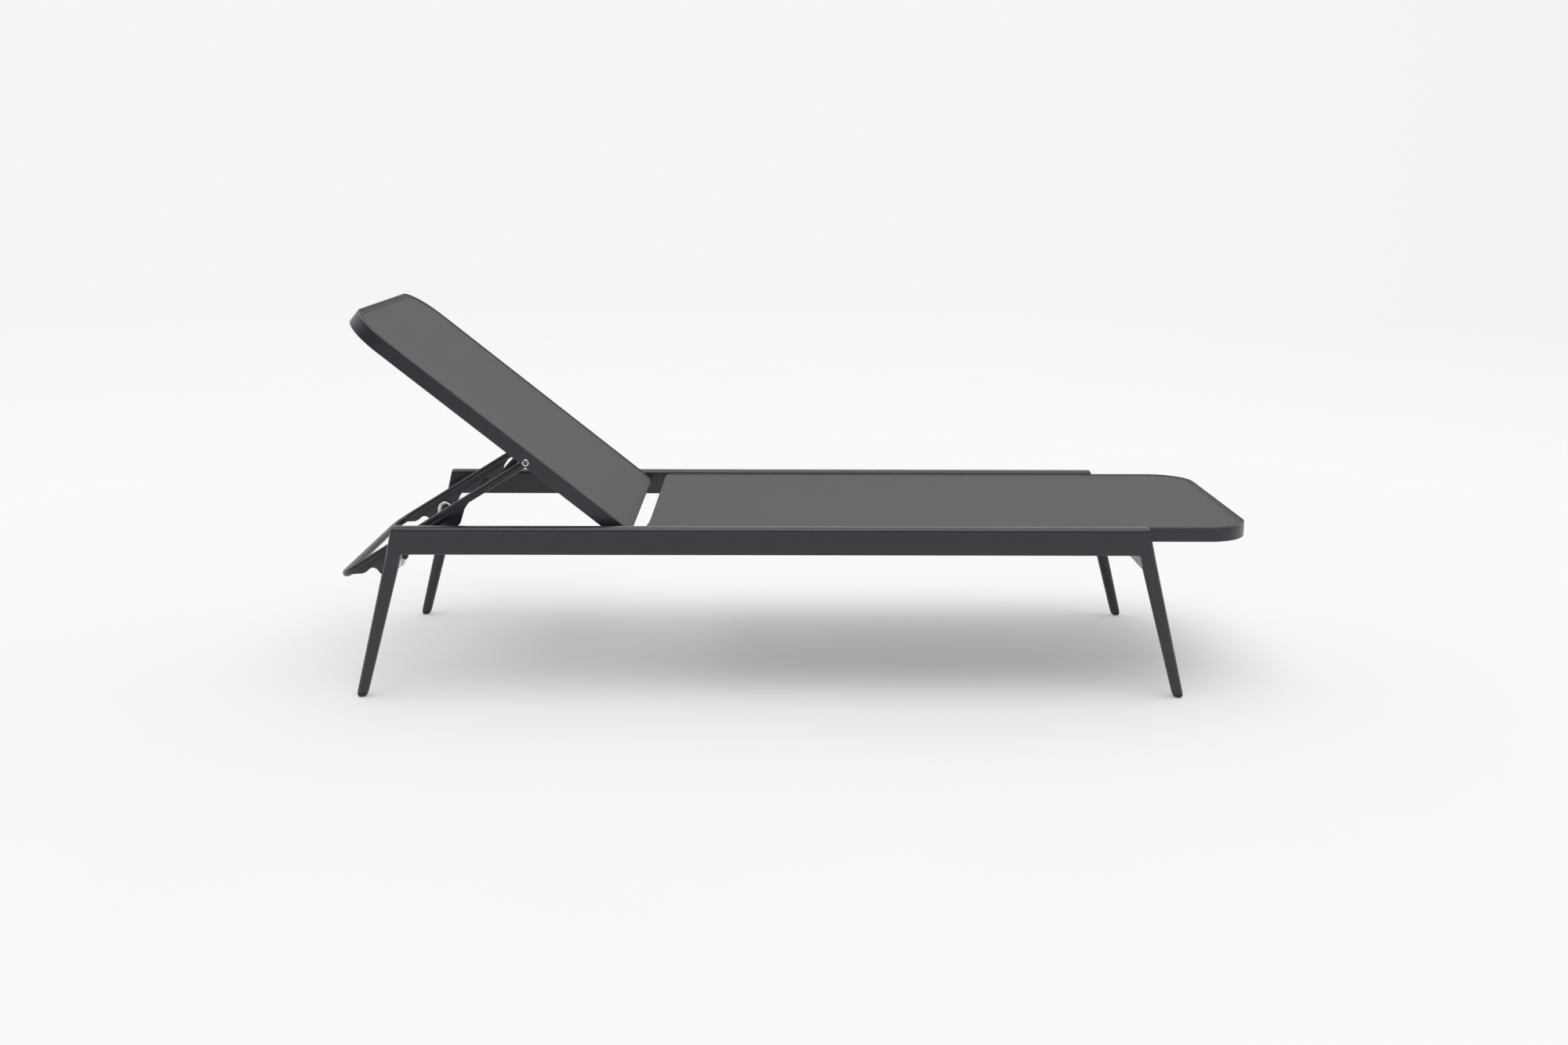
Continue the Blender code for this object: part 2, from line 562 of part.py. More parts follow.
# ---------------------------------------------------------------- assembly
def build():
    clear_scene()
    coat = finish_material("powder_coat", (0.045, 0.046, 0.050), 0.45, 0.0)
    steel = finish_material("stainless_steel", (0.72, 0.71, 0.69), 0.28, 1.0)
    fabric = finish_material("sling_fabric", (0.130, 0.132, 0.136), 0.75, 0.0)
    cord = finish_material("keder_cord", (0.060, 0.061, 0.065), 0.60, 0.0)
    plastic = finish_material("black_plastic", (0.020, 0.020, 0.021), 0.55, 0.0)

    base = datum("base_datum", (-CENTRE_X, 0.0, 0.0))
    back_axis = datum("back_hinge_axis", (HINGE_X, 0.0, HINGE_Z), BACK_TILT, base)
    stand_axis = datum("stand_pivot_axis", (-PIVOT_ARM, 0.0, PIVOT_RISE), -BACK_TILT - STAND_SLOPE,
                       back_axis)
    for name, side in SIDES:
        side_rail(side, coat, base)
        for place, end in (("head", -1.0), ("foot", 1.0)):
            leg(f"leg_{place}_{name}", end, side, coat, base)
            foot_cap(f"foot_cap_{place}_{name}", end, side, plastic, base)
        stud(side, steel, base)
        seat_fixings(side, steel, plastic, base)
        hinge_fixings(side, steel, plastic, base)
        pivot_fixings(side, steel, plastic, back_axis)
    foot_beam(coat, base)
    seat(coat, fabric, cord, base)
    back(coat, fabric, cord, back_axis)
    stand(coat, stand_axis)


build()
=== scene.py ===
"""Studio scene of the reclining sun lounger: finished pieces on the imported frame, finishes, light, camera.

Row frame: +X runs from the head end to the foot end, +Y is the left side, the floor is Z = 0.
A panel (seat or back) is built in its own flat frame first: t runs from its open end to its closed end,
y across it, and z up from the top plane of its frame bar. A matrix then puts it in place.
"""
import math

import bmesh
import bpy
from mathutils import Matrix, Vector, noise


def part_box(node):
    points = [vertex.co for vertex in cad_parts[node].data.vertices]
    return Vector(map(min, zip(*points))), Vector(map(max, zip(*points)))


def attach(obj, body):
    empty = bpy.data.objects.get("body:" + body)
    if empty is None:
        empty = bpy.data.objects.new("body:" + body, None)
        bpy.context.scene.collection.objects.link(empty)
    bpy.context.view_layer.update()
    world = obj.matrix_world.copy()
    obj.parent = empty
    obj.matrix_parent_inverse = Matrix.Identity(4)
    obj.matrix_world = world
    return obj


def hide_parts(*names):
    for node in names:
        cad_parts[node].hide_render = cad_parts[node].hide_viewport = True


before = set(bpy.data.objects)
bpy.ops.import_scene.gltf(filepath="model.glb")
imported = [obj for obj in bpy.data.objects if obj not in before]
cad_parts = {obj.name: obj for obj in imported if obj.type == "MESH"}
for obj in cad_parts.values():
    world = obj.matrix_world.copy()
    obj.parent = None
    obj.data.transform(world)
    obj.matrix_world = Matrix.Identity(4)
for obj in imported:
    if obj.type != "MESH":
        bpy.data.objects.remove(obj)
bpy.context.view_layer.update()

# ---------------------------------------------------------------- sizes in metres
SIDES = (("left", 1.0), ("right", -1.0))
QUARTER = math.pi / 2.0

RAIL_INNER = 0.300           # middle of the lounger to the rail's inner face
RAIL_MIDDLE = 0.315
RAIL_WIDTH = 0.030
RAIL_TOP = 0.3630
RAIL_BOTTOM = 0.3058
RAIL_END = 0.7703
RAIL_CORNER = 0.005          # outer bend between rail and leg
RAIL_FILLET = 0.006          # inner bend under the rail
RAIL_TOP_ROUND = 0.0042
RAIL_DOME = 0.0036           # how far the rail's top falls from its middle to its edges
RAIL_LOW_ROUND = 0.0035
SPLAY = 0.2505               # how far a leg runs outwards for each unit of drop
LEG_TOP_DEPTH = 0.0318
FOOT_DEPTH = 0.0226
FOOT_WIDTH = 0.0222
GLIDE_HEIGHT = 0.0092
SECTION_CHANGE = 0.285       # height at which a leg's oval starts to turn into the rail's box
BEAM_DROP = 0.007            # foot beam's underside below its plain node
BEAM_INSET = (0.004, 0.030)  # legs' outer line to the beam's outer and inner face
BEAM_REACH = RAIL_INNER + 0.005

PANEL_TOP = 0.3575
BAR_HEIGHT = 0.030
BAR_WIDTH = 0.025
CORNER = 0.090
SEAT_HALF = 0.2945
BACK_HALF = 0.287
HINGE_DROP = 0.022
BACK_TAIL = 0.010
BACK_TILT = math.radians(38.8)
CLOTH = 0.0012               # thickness
CLOTH_INSET = 0.0062         # lip's outer face to the cloth's edge
TUBE_AT = 0.0125             # open end to the middle of the tube in the sleeve
TUBE_DROP = 0.016            # that tube's middle below the top plane
SEAT_TUBE = 0.0115           # radius
BACK_TUBE = 0.01035
BACK_TUBE_REACH = 0.2515
SLEEVE_RADIUS = 0.0129       # cloth round the tube
STRETCHER_TUBE = 0.0095
STRETCHER_BOW = 0.022
STITCH_PITCH = 0.0062
STITCH_LENGTH = 0.0046
THREAD_WIDTH = 0.0010

STAND_TUBE = 0.008           # radius
STAND_HALF = 0.2525          # middle of the side bars
STAND_REACH = 0.4665         # pivot to the middle of the handle
STAND_BEND = 0.040
STAND_BRACE = 0.0755         # pivot to the cross tube
EYE_RADIUS = 0.0115
BAR_DROP = 0.003             # side bars' middle below the pivot
PLATE = 0.005
GROOVES = ((0.184, 0.302), (0.331, 0.409))     # pressed in the plates, as distances from the pivot
GROOVE_DROP = 0.0150
GROOVE_HALF = 0.0012
NOTCH_PITCH = 0.0592
NOTCH_DROP = 0.0321          # notch centres below the pivot
RAISED_DROP = 0.0313         # the notch that holds the back at its steepest
NOTCH_RADIUS = 0.0120
TOOTH_DROP = 0.0429
BORE = 0.0043                # clearance hole for an M8 screw, as a radius


def middle_of(node):
    low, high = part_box(node)
    return (low + high) / 2.0


BASE_X = middle_of("side_rail_left").x
HINGE = Vector((middle_of("hinge_bush_left").x, 0.0, middle_of("hinge_bush_left").z))
PIVOT = Vector((middle_of("pivot_washer_left").x, 0.0, middle_of("pivot_washer_left").z))
STUD = Vector((middle_of("stand_stud_left").x, 0.0, middle_of("stand_stud_left").z))
SEAT_LOW, SEAT_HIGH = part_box("seat_frame")
SEAT_LENGTH = SEAT_HIGH.x - SEAT_LOW.x
BACK_LENGTH = 0.7013 + BACK_TAIL
STUD_ARM = (PIVOT - STUD).length
NOTCH_AT = math.sqrt(STUD_ARM ** 2 - NOTCH_DROP ** 2)
STAND_SLOPE = math.atan2(PIVOT.z - STUD.z, PIVOT.x - STUD.x) - math.asin(NOTCH_DROP / STUD_ARM)

SEAT_PLACE = Matrix.Translation((SEAT_LOW.x, 0.0, PANEL_TOP))
BACK_FRAME = Matrix.Translation(HINGE) @ Matrix.Rotation(BACK_TILT, 4, "Y")
BACK_PLACE = (BACK_FRAME @ Matrix.Translation((BACK_TAIL, 0.0, HINGE_DROP))
              @ Matrix.Rotation(math.pi, 4, "Z"))
STAND_PLACE = Matrix.Translation(PIVOT) @ Matrix.Rotation(-STAND_SLOPE, 4, "Y")


# ---------------------------------------------------------------- shader helpers
class Graph:
    """One material's or world's node tree; every node but the maths comes from add()."""

    def __init__(self, tree):
        self.tree = tree

    def add(self, kind, settings=None, sockets=None, out=0):
        """New node with its settings, then its sockets' values or links; gives one output, or the node."""
        node = self.tree.nodes.new(kind)
        for key, value in (settings or {}).items():
            setattr(node, key, value)
        for key, value in (sockets or {}).items():
            socket = node.inputs[key]
            if isinstance(value, Num):
                value = value.socket
            if isinstance(value, bpy.types.NodeSocket):
                self.tree.links.new(value, socket)
            else:
                socket.default_value = value
        return node.outputs[out] if isinstance(out, (int, str)) else node

    def num(self, kind, settings=None, sockets=None, out=0):
        return Num(self, self.add(kind, settings, sockets, out))

    def noise(self, at, scale, detail=2.0, roughness=0.5):
        return self.num("ShaderNodeTexNoise", {"noise_dimensions": "3D"},
                        {"Vector": at, "Scale": scale, "Detail": detail, "Roughness": roughness}, "Fac")

    def mix(self, share, first, second):
        return self.add("ShaderNodeMix", {"data_type": "RGBA", "clamp_factor": True},
                        {0: share, 6: first, 7: second}, 2)


class Num:
    """A number socket that can be written in sums."""

    def __init__(self, graph, socket):
        self.graph, self.socket = graph, socket

    def op(self, operation, *others, clamp=False):
        sockets = dict(enumerate([self, *others]))
        return self.graph.num("ShaderNodeMath", {"operation": operation, "use_clamp": clamp}, sockets)

    def __add__(self, other):
        return self.op("ADD", other)

    def __sub__(self, other):
        return self.op("SUBTRACT", other)

    def __mul__(self, other):
        return self.op("MULTIPLY", other)

    def __truediv__(self, other):
        return self.op("DIVIDE", other)

    def __rsub__(self, other):
        return (self * -1.0) + other

    __radd__ = __add__
    __rmul__ = __mul__

    def floor(self):
        return self.op("FLOOR")

    def fract(self):
        return self.op("FRACT")

    def between(self, low, high):
        """0 below low, 1 above high, a straight ramp from one to the other."""
        return ((self - low) / (high - low)).op("ADD", 0.0, clamp=True)


def new_material(name):
    material = bpy.data.materials.new(name)
    material.use_nodes = True
    material.node_tree.nodes.clear()
    return material, Graph(material.node_tree)


def finish_shader(graph, colour, roughness, normal, **fixed):
    """Principled shader with linked colour, roughness and bump, and fixed values on the rest."""
    sockets = {"Base Color": colour, "Roughness": roughness, "Normal": normal}
    sockets.update({key.replace("_", " "): value for key, value in fixed.items()})
    shader = graph.add("ShaderNodeBsdfPrincipled", None, sockets)
    graph.add("ShaderNodeOutputMaterial", None, {"Surface": shader}, None)


def grey(value, warm=0.0, blue=0.0):
    return (value * (1.0 + warm), value, value * (1.0 + blue), 1.0)


# ---------------------------------------------------------------- finishes
def powder_coat(name, roughness, reflection, coat):
    """Anthracite powder coat: fine orange peel, faint mottling, edges lighter in patches (rubbed wear, and a
    painted highlight on the panel bars' lip).
    """
    material, g = new_material(name)
    at = g.add("ShaderNodeTexCoord", None, None, "Object")
    edge = g.num("ShaderNodeAttribute", {"attribute_name": "edge"}, None, "Fac")
    peel = g.noise(at, 620.0, 2.0)
    grain = g.noise(at, 2300.0, 1.0)
    cloud = g.noise(at, 9.0, 3.0)
    rub_and_highlight_patches = g.noise(at, 140.0, 4.0, 0.7)
    base = g.mix(cloud, grey(0.0185, 0.12, 0.52), grey(0.0230, 0.12, 0.52))
    speck = g.mix(grain.between(0.35, 0.75) * 0.5, base, grey(0.030, 0.10, 0.45))
    # Where the edge mark is set, patches are lighter: rubbed wear, and on the panel bars' lip also a painted
    # highlight.
    rubbed_edges_and_lip_highlight = g.mix(edge * rub_and_highlight_patches.between(0.45, 0.72) * 0.45, speck, grey(0.085, 0.0, 0.08))
    rough = roughness + 0.06 * cloud + 0.07 * grain
    bump = g.add("ShaderNodeBump", None, {"Strength": 0.22, "Distance": 0.00012,
                                          "Height": peel * 0.8 + grain * 0.35})
    finish_shader(g, rubbed_edges_and_lip_highlight, rough, bump, Specular_IOR_Level=reflection, Coat_Weight=coat,
                  Coat_Roughness=0.25)
    return material


def sling_cloth():
    """Coated-yarn mesh in a two-over-two twill, heather grey, with a doubled hem."""
    material, g = new_material("sling_cloth")
    uv = g.add("ShaderNodeUVMap", {"uv_map": "weave"})
    split = g.add("ShaderNodeSeparateXYZ", None, {0: uv}, None)
    pitch = 0.00105      # from one yarn to the next
    along = Num(g, split.outputs[0]) / pitch
    across = Num(g, split.outputs[1]) / pitch
    over = ((along.floor() + across.floor()) * 0.25).fract().op("LESS_THAN", 0.49)
    warp_side = across.fract() - 0.5
    weft_side = along.fract() - 0.5
    warp = 1.0 - warp_side * warp_side * 3.4
    weft = 1.0 - weft_side * weft_side * 3.4
    under = 1.0 - over
    height = over * warp + under * weft
    yarn_id = g.add("ShaderNodeCombineXYZ", None,
                    {0: across.floor() * over, 1: along.floor() * under, 2: over})
    tint = g.num("ShaderNodeTexWhiteNoise", {"noise_dimensions": "3D"}, {"Vector": yarn_id}, "Value")
    flat = g.add("ShaderNodeCombineXYZ", None, {0: Num(g, split.outputs[0]), 1: Num(g, split.outputs[1])})
    cloud = g.noise(flat, 7.0, 3.0)
    streak = g.noise(g.add("ShaderNodeMapping", None, {"Vector": flat, "Scale": (3.0, 90.0, 1.0)}), 1.0, 2.0)
    fuzz = g.noise(flat, 3000.0, 1.0)
    hem = g.num("ShaderNodeAttribute", {"attribute_name": "hem"}, None, "Fac")
    dark = grey(0.047, 0.0, 0.02)
    light = grey(0.086, -0.01, 0.02)
    yarn = g.mix(tint * 0.45 + over * 0.30 + fuzz * 0.25, dark, light)
    mottled = g.mix(cloud.between(0.35, 0.70) * 0.22 + streak.between(0.4, 0.7) * 0.14, yarn, grey(0.060))
    gap_shade = height.between(0.10, 0.55)
    # Painted shade: the low ground between the yarns is darkened.
    woven = g.mix(gap_shade, grey(0.022), mottled)
    hemmed = g.mix(hem * 0.10, woven, grey(0.040))
    rough = 0.62 + 0.12 * fuzz + 0.06 * tint
    bump = g.add("ShaderNodeBump", None, {"Strength": 0.55, "Distance": 0.00035,
                                          "Height": height + 0.25 * fuzz})
    finish_shader(g, hemmed, rough, bump, Specular_IOR_Level=0.45, Sheen_Weight=0.12, Sheen_Roughness=0.45)
    return material


def sewing_thread():
    """Bonded thread with a fine twist."""
    material, g = new_material("sewing_thread")
    at = g.add("ShaderNodeTexCoord", None, None, "Object")
    twist = g.num("ShaderNodeTexWave", {"bands_direction": "DIAGONAL"},
                  {"Vector": at, "Scale": 520.0, "Distortion": 0.4}, "Fac")
    colour = g.mix(twist, grey(0.034), grey(0.060))
    bump = g.add("ShaderNodeBump", None, {"Strength": 0.4, "Distance": 0.0001, "Height": twist})
    finish_shader(g, colour, 0.62 + 0.1 * twist, bump)
    return material


def stainless_steel():
    """Turned and lightly brushed steel; the turning marks follow each piece's own radius, and rings inside a
    recess are painted dark as painted shade.
    """
    material, g = new_material("stainless_steel")
    at = g.add("ShaderNodeTexCoord", None, None, "Object")
    radius = g.num("ShaderNodeAttribute", {"attribute_name": "radius"}, None, "Fac")
    marks = (radius * 3400.0 + g.noise(at, 60.0) * 1.6).op("SINE") * 0.5 + 0.5
    smear = g.noise(at, 320.0, 3.0)
    bright = g.mix(smear, (0.62, 0.61, 0.58, 1.0), (0.80, 0.79, 0.77, 1.0))
    # Painted shade: where the radius mark is near 0, inside a screw's socket, the steel is painted dark.
    colour = g.mix(radius.between(0.0002, 0.0012), (0.14, 0.14, 0.15, 1.0), bright)
    bump = g.add("ShaderNodeBump", None, {"Strength": 0.12, "Distance": 0.00008, "Height": marks})
    finish_shader(g, colour, 0.17 + 0.10 * smear + 0.05 * marks, bump, Metallic=1.0)
    return material


def moulded_plastic():
    """Black plastic with the fine grain of its mould."""
    material, g = new_material("moulded_plastic")
    at = g.add("ShaderNodeTexCoord", None, None, "Object")
    cell = g.num("ShaderNodeTexVoronoi", None, {"Vector": at, "Scale": 1500.0}, "Distance")
    cloud = g.noise(at, 60.0, 3.0)
    colour = g.mix(cloud, grey(0.0085), grey(0.0160))
    bump = g.add("ShaderNodeBump", None, {"Strength": 0.25, "Distance": 0.0001, "Height": cell})
    finish_shader(g, colour, 0.42 + 0.16 * cloud, bump, Specular_IOR_Level=0.45)
    return material


COAT = powder_coat("powder_coat", roughness=0.28, reflection=0.48, coat=0.12)
MATT_COAT = powder_coat("powder_coat_matt", roughness=0.62, reflection=0.14, coat=0.0)
CLOTH_FINISH = sling_cloth()
THREAD = sewing_thread()
STEEL = stainless_steel()
PLASTIC = moulded_plastic()


# ---------------------------------------------------------------- mesh helpers
def arc(centre, radius, start, end, steps):
    """Points on a circle from one angle to another, both included."""
    angles = [start + (end - start) * i / steps for i in range(steps + 1)]
    return [(centre[0] + radius * math.cos(a), centre[1] + radius * math.sin(a)) for a in angles]


def loft(rings, marks=None, mark_name="edge", ring_loop=False, caps=True):
    """Skin rings of equal count; marks gives each ring position a number, kept as a point attribute."""
    bm = bmesh.new()
    layer = bm.verts.layers.float.new(mark_name)
    rows = []
    for r, ring in enumerate(rings):
        row = [bm.verts.new(point) for point in ring]
        if marks:
            values = marks[r] if isinstance(marks[0], (list, tuple)) else marks
            for vertex, value in zip(row, values):
                vertex[layer] = value
        rows.append(row)
    pairs = list(zip(rows, rows[1:])) + ([(rows[-1], rows[0])] if ring_loop else [])
    for low, high in pairs:
        for i in range(len(low)):
            j = (i + 1) % len(low)
            bm.faces.new((low[i], low[j], high[j], high[i]))
    if caps and not ring_loop:
        bm.faces.new(rows[0])
        bm.faces.new(rows[-1])
    bmesh.ops.recalc_face_normals(bm, faces=bm.faces)
    return bm


def mesh_object(name, bm, material, place=None, sharp=35.0):
    """Smooth-shaded object from a mesh in hand, with edges past the sharp angle left crisp."""
    if place is not None:
        bm.transform(place)
    mesh = bpy.data.meshes.new(name)
    bm.to_mesh(mesh)
    bm.free()
    mesh.shade_smooth()
    mesh.set_sharp_from_angle(angle=math.radians(sharp))
    mesh.materials.append(material)
    piece = bpy.data.objects.new(name, mesh)
    bpy.context.scene.collection.objects.link(piece)
    return piece


def settle(piece, body, nodes=()):
    """Ride a finished piece on its body and the plain nodes that it stands for."""
    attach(piece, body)
    if nodes:
        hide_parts(*nodes)
    return piece


def baked(piece):
    """Turn a piece and its modifiers into one plain mesh."""
    graph = bpy.context.evaluated_depsgraph_get()
    mesh = bpy.data.meshes.new_from_object(piece.evaluated_get(graph))
    piece.modifiers.clear()
    old = piece.data
    piece.data = mesh
    mesh.name = piece.name
    bpy.data.meshes.remove(old)
    return piece


def combine(piece, others, operation="UNION"):
    """Weld other shapes to a piece, or cut them out of it."""
    for other in others:
        modifier = piece.modifiers.new("join", "BOOLEAN")
        modifier.operation = operation
        modifier.solver = "EXACT"
        modifier.object = other
    baked(piece)
    for other in others:
        bpy.data.objects.remove(other)
    return piece


def rounded_outline(points, radius, steps=4):
    """Ease every corner of a closed outline; radius is one number or one for each point."""
    eased = []
    count = len(points)
    radii = radius if isinstance(radius, (list, tuple)) else [radius] * count
    for i in range(count):
        here = Vector(points[i])
        before, after = Vector(points[i - 1]) - here, Vector(points[(i + 1) % count]) - here
        turn = math.pi - before.angle(after)
        if turn < 0.02 or radii[i] <= 0.0:
            eased.append(tuple(here))
            continue
        reach = min(radii[i] * math.tan(turn / 2.0), 0.45 * before.length, 0.45 * after.length)
        start, end = here + before.normalized() * reach, here + after.normalized() * reach
        for k in range(steps + 1):
            s = k / steps
            eased.append(tuple(start * (1 - s) ** 2 + here * 2 * s * (1 - s) + end * s ** 2))
    return eased


def box_section(width, depth, round_high, round_low, hold=0.0015, steps=5, dome=0.0):
    """Rounded box outline as (across, up) points from up = 0 to depth, and which points are on an edge.

    A dome lowers the upper corners and curves the upper face between them.
    """
    half = width / 2.0
    points, marks = [], []
    corners = (((half - round_high, depth - round_high), round_high, 0.0),
               ((round_high - half, depth - round_high), round_high, QUARTER),
               ((round_low - half, round_low), round_low, 2.0 * QUARTER),
               ((half - round_low, round_low), round_low, 3.0 * QUARTER))
    for centre, radius, start in corners:
        bend = arc(centre, radius, start, start + QUARTER, steps)
        before = (-math.sin(start) * -hold, math.cos(start) * -hold)
        after = (-math.sin(start + QUARTER) * hold, math.cos(start + QUARTER) * hold)
        bend = ([(bend[0][0] + before[0], bend[0][1] + before[1])] + bend
                + [(bend[-1][0] + after[0], bend[-1][1] + after[1])])
        if start < QUARTER * 1.5:
            bend = [(a, up - dome * abs(a / half) ** 2.2) for a, up in bend]
        points += bend
        marks += [0.0, 0.4] + [1.0] * (steps - 1) + [0.4, 0.0]
        if start == 0.0:
            spread = half - round_high - hold
            tops = [spread * (1.0 - k / 4.0) for k in range(1, 8)]
            points += [(a, depth - dome * abs(a / half) ** 2.2) for a in tops]
            marks += [0.0] * len(tops)
    return points, marks


# ---------------------------------------------------------------- side frames, glides, beam
def outer_x(z):
    """Outer line of the legs, as a distance from the middle of the rails."""
    return RAIL_END + SPLAY * (RAIL_TOP - z)


def leg_size(z):
    """Depth and width of a leg at a height."""
    share = (RAIL_BOTTOM - z) / RAIL_BOTTOM
    return (LEG_TOP_DEPTH + (FOOT_DEPTH - LEG_TOP_DEPTH) * share,
            RAIL_WIDTH + (FOOT_WIDTH - RAIL_WIDTH) * share)


def inner_x(z):
    return outer_x(z) - leg_size(z)[0]


def arch_half():
    """Outer and inner edge of half a side frame from the foot to the middle of the rail, ring by ring."""
    lean = math.atan(SPLAY)
    setback = RAIL_CORNER * math.tan((QUARTER - lean) / 2.0)
    outer_centre = (RAIL_END - setback, RAIL_TOP - RAIL_CORNER)
    slope = (inner_x(0.0) - inner_x(RAIL_BOTTOM)) / RAIL_BOTTOM
    inner_lean = math.atan(slope)
    low = RAIL_BOTTOM - RAIL_FILLET
    inner_centre = (inner_x(low) - RAIL_FILLET * math.hypot(1.0, slope), low)
    bend_out = arc(outer_centre, RAIL_CORNER, lean, QUARTER, 12)
    bend_in = arc(inner_centre, RAIL_FILLET, inner_lean, QUARTER, 12)
    split = 0.270            # above this the outer and inner edge climb at their own pace
    heights = [GLIDE_HEIGHT, 0.0105, 0.0125, 0.0155, 0.06, 0.12, 0.18, 0.23, split]
    outer = [(outer_x(z), z) for z in heights]
    inner = [(inner_x(z), z) for z in heights]
    steps = 5
    for i in range(1, steps):
        z_out = split + (bend_out[0][1] - split) * i / steps
        z_in = split + (bend_in[0][1] - split) * i / steps
        outer.append((outer_x(z_out), z_out))
        inner.append((inner_x(z_in), z_in))
    outer += bend_out
    inner += bend_in
    start = bend_in[-1][0] - 0.012
    for x in (start, start - 0.03, 0.60, 0.40, 0.20, 0.0):
        outer.append((x, RAIL_TOP))
        inner.append((x, RAIL_BOTTOM))
    return outer, inner


def side_frame(name, side):
    """Rail and both legs as one smooth welded arch."""
    outer, inner = arch_half()
    outer += [(-x, z) for x, z in reversed(outer[:-1])]
    inner += [(-x, z) for x, z in reversed(inner[:-1])]
    rings, marks = [], []
    for (ox, oz), (ix, iz) in zip(outer, inner):
        depth = math.hypot(ox - ix, oz - iz)
        up = Vector((ox - ix, 0.0, oz - iz)) / depth
        centre_z = min((oz + iz) / 2.0, RAIL_BOTTOM)
        narrow, width = leg_size(centre_z)
        tip = 1.0 - 0.045 * max(0.0, 1.0 - (oz - GLIDE_HEIGHT) / 0.006) ** 2
        depth, width = depth * tip, width * tip
        share = min(max((oz - SECTION_CHANGE) / (RAIL_TOP - SECTION_CHANGE), 0.0), 1.0)
        share = share * share * (3.0 - 2.0 * share)
        oval = 0.43 * min(narrow, width)
        high = oval + (RAIL_TOP_ROUND - oval) * share
        low = oval + (RAIL_LOW_ROUND - oval) * share
        section, edge = box_section(width, depth, high, low, 0.0012 * share + 0.0002, dome=RAIL_DOME * share)
        slip = (1.0 - tip) * (ox - ix) / 2.0
        start = Vector((BASE_X + ix + slip, side * RAIL_MIDDLE, iz))
        rings.append([start + Vector((0.0, y, 0.0)) + up * s for y, s in section])
        marks.append([0.4 * value * share for value in edge])
    piece = mesh_object("side_frame_" + name, loft(rings, marks), COAT, sharp=50.0)
    nodes = ["side_rail_" + name, "leg_head_" + name, "leg_foot_" + name]
    return settle(piece, "base", nodes)


def foot_glide(place, end, name, side):
    """Push-in plastic glide: domed below, with a shadow line where it meets the leg."""
    levels = ((0.40, 0.0), (0.50, 0.0002), (0.61, 0.0009), (0.72, 0.0020), (0.81, 0.0034), (0.88, 0.0049),
              (0.93, 0.0063), (0.955, 0.0075), (0.955, 0.0080), (0.90, 0.0082), (0.88, GLIDE_HEIGHT))
    rings = []
    for share, z in levels:
        centre = end * (outer_x(z) - FOOT_DEPTH / 2.0)
        section, _ = box_section(FOOT_WIDTH * share, FOOT_DEPTH * share, 0.44 * FOOT_DEPTH * share,
                                 0.44 * FOOT_DEPTH * share, 0.0002)
        rings.append([(BASE_X + centre + s - FOOT_DEPTH * share / 2.0, side * RAIL_MIDDLE + y, z)
                      for y, s in section])
    piece = mesh_object(f"foot_glide_{place}_{name}", loft(rings), PLASTIC)
    return settle(piece, "base", [f"foot_cap_{place}_{name}"])


def cross_piece(name, sections, body, nodes, material=COAT, place=None, sharp=40.0):
    """A bar from side to side through given sections, each a (y, outline) pair."""
    rings = [[(x, y, z) for x, z in outline] for y, outline in sections]
    return settle(mesh_object(name, loft(rings), material, place, sharp), body, nodes)


WELD = ((0.0, 0.0017), (0.0006, 0.0009), (0.0014, 0.0004), (0.0026, 0.0))   # (from the joint, growth)


def welded_stations(reach, middle=()):
    """Stations from -reach to reach with the small cove of a weld at both ends."""
    ends = [(-reach + step, grow) for step, grow in WELD]
    return ends + [(y, 0.0) for y in middle] + [(-y, grow) for y, grow in reversed(ends)]


def foot_beam():
    """Beam between the foot-end legs, its ends let into them."""
    low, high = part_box("foot_cross_beam")
    bottom = low.z - BEAM_DROP
    outer, inner = BEAM_INSET
    corners = [(BASE_X + outer_x(z) - inset, z)
               for z, inset in ((bottom, outer), (high.z, outer), (high.z, inner), (bottom, inner))]
    outline = rounded_outline(corners, 0.004, 5)
    sections = [(y, outline) for y in (-BEAM_REACH, -0.2, 0.0, 0.2, BEAM_REACH)]
    return cross_piece("foot_beam", sections, "base", ["foot_cross_beam"])


for side_name, side_sign in SIDES:
    side_frame(side_name, side_sign)
    for place_name, end_sign in (("head", -1.0), ("foot", 1.0)):
        foot_glide(place_name, end_sign, side_name, side_sign)
foot_beam()


# ---------------------------------------------------------------- panels: bent bar, cloth, stitches
def panel_line(length, half, steps=18):
    """Outer plan line of a panel as (t, y): open end, left side, closed end, right side, open end."""
    line = [(0.0, half)]
    line += arc((length - CORNER, half - CORNER), CORNER, QUARTER, 0.0, steps)
    line += arc((length - CORNER, CORNER - half), CORNER, 0.0, -QUARTER, steps)
    return line + [(0.0, -half)]


def moved_in(line, distance):
    """The same plan line, moved towards the panel's middle with mitred turns."""
    points = [Vector(p) for p in line]
    legs = [(b - a).normalized() for a, b in zip(points, points[1:])]
    normals = [Vector((leg.y, -leg.x)) for leg in legs]
    result = []
    for i, point in enumerate(points):
        mitre = (normals[max(i - 1, 0)] + normals[min(i, len(normals) - 1)]).normalized()
        result.append(point + mitre * (distance / mitre.dot(normals[max(i - 1, 0)])))
    return result


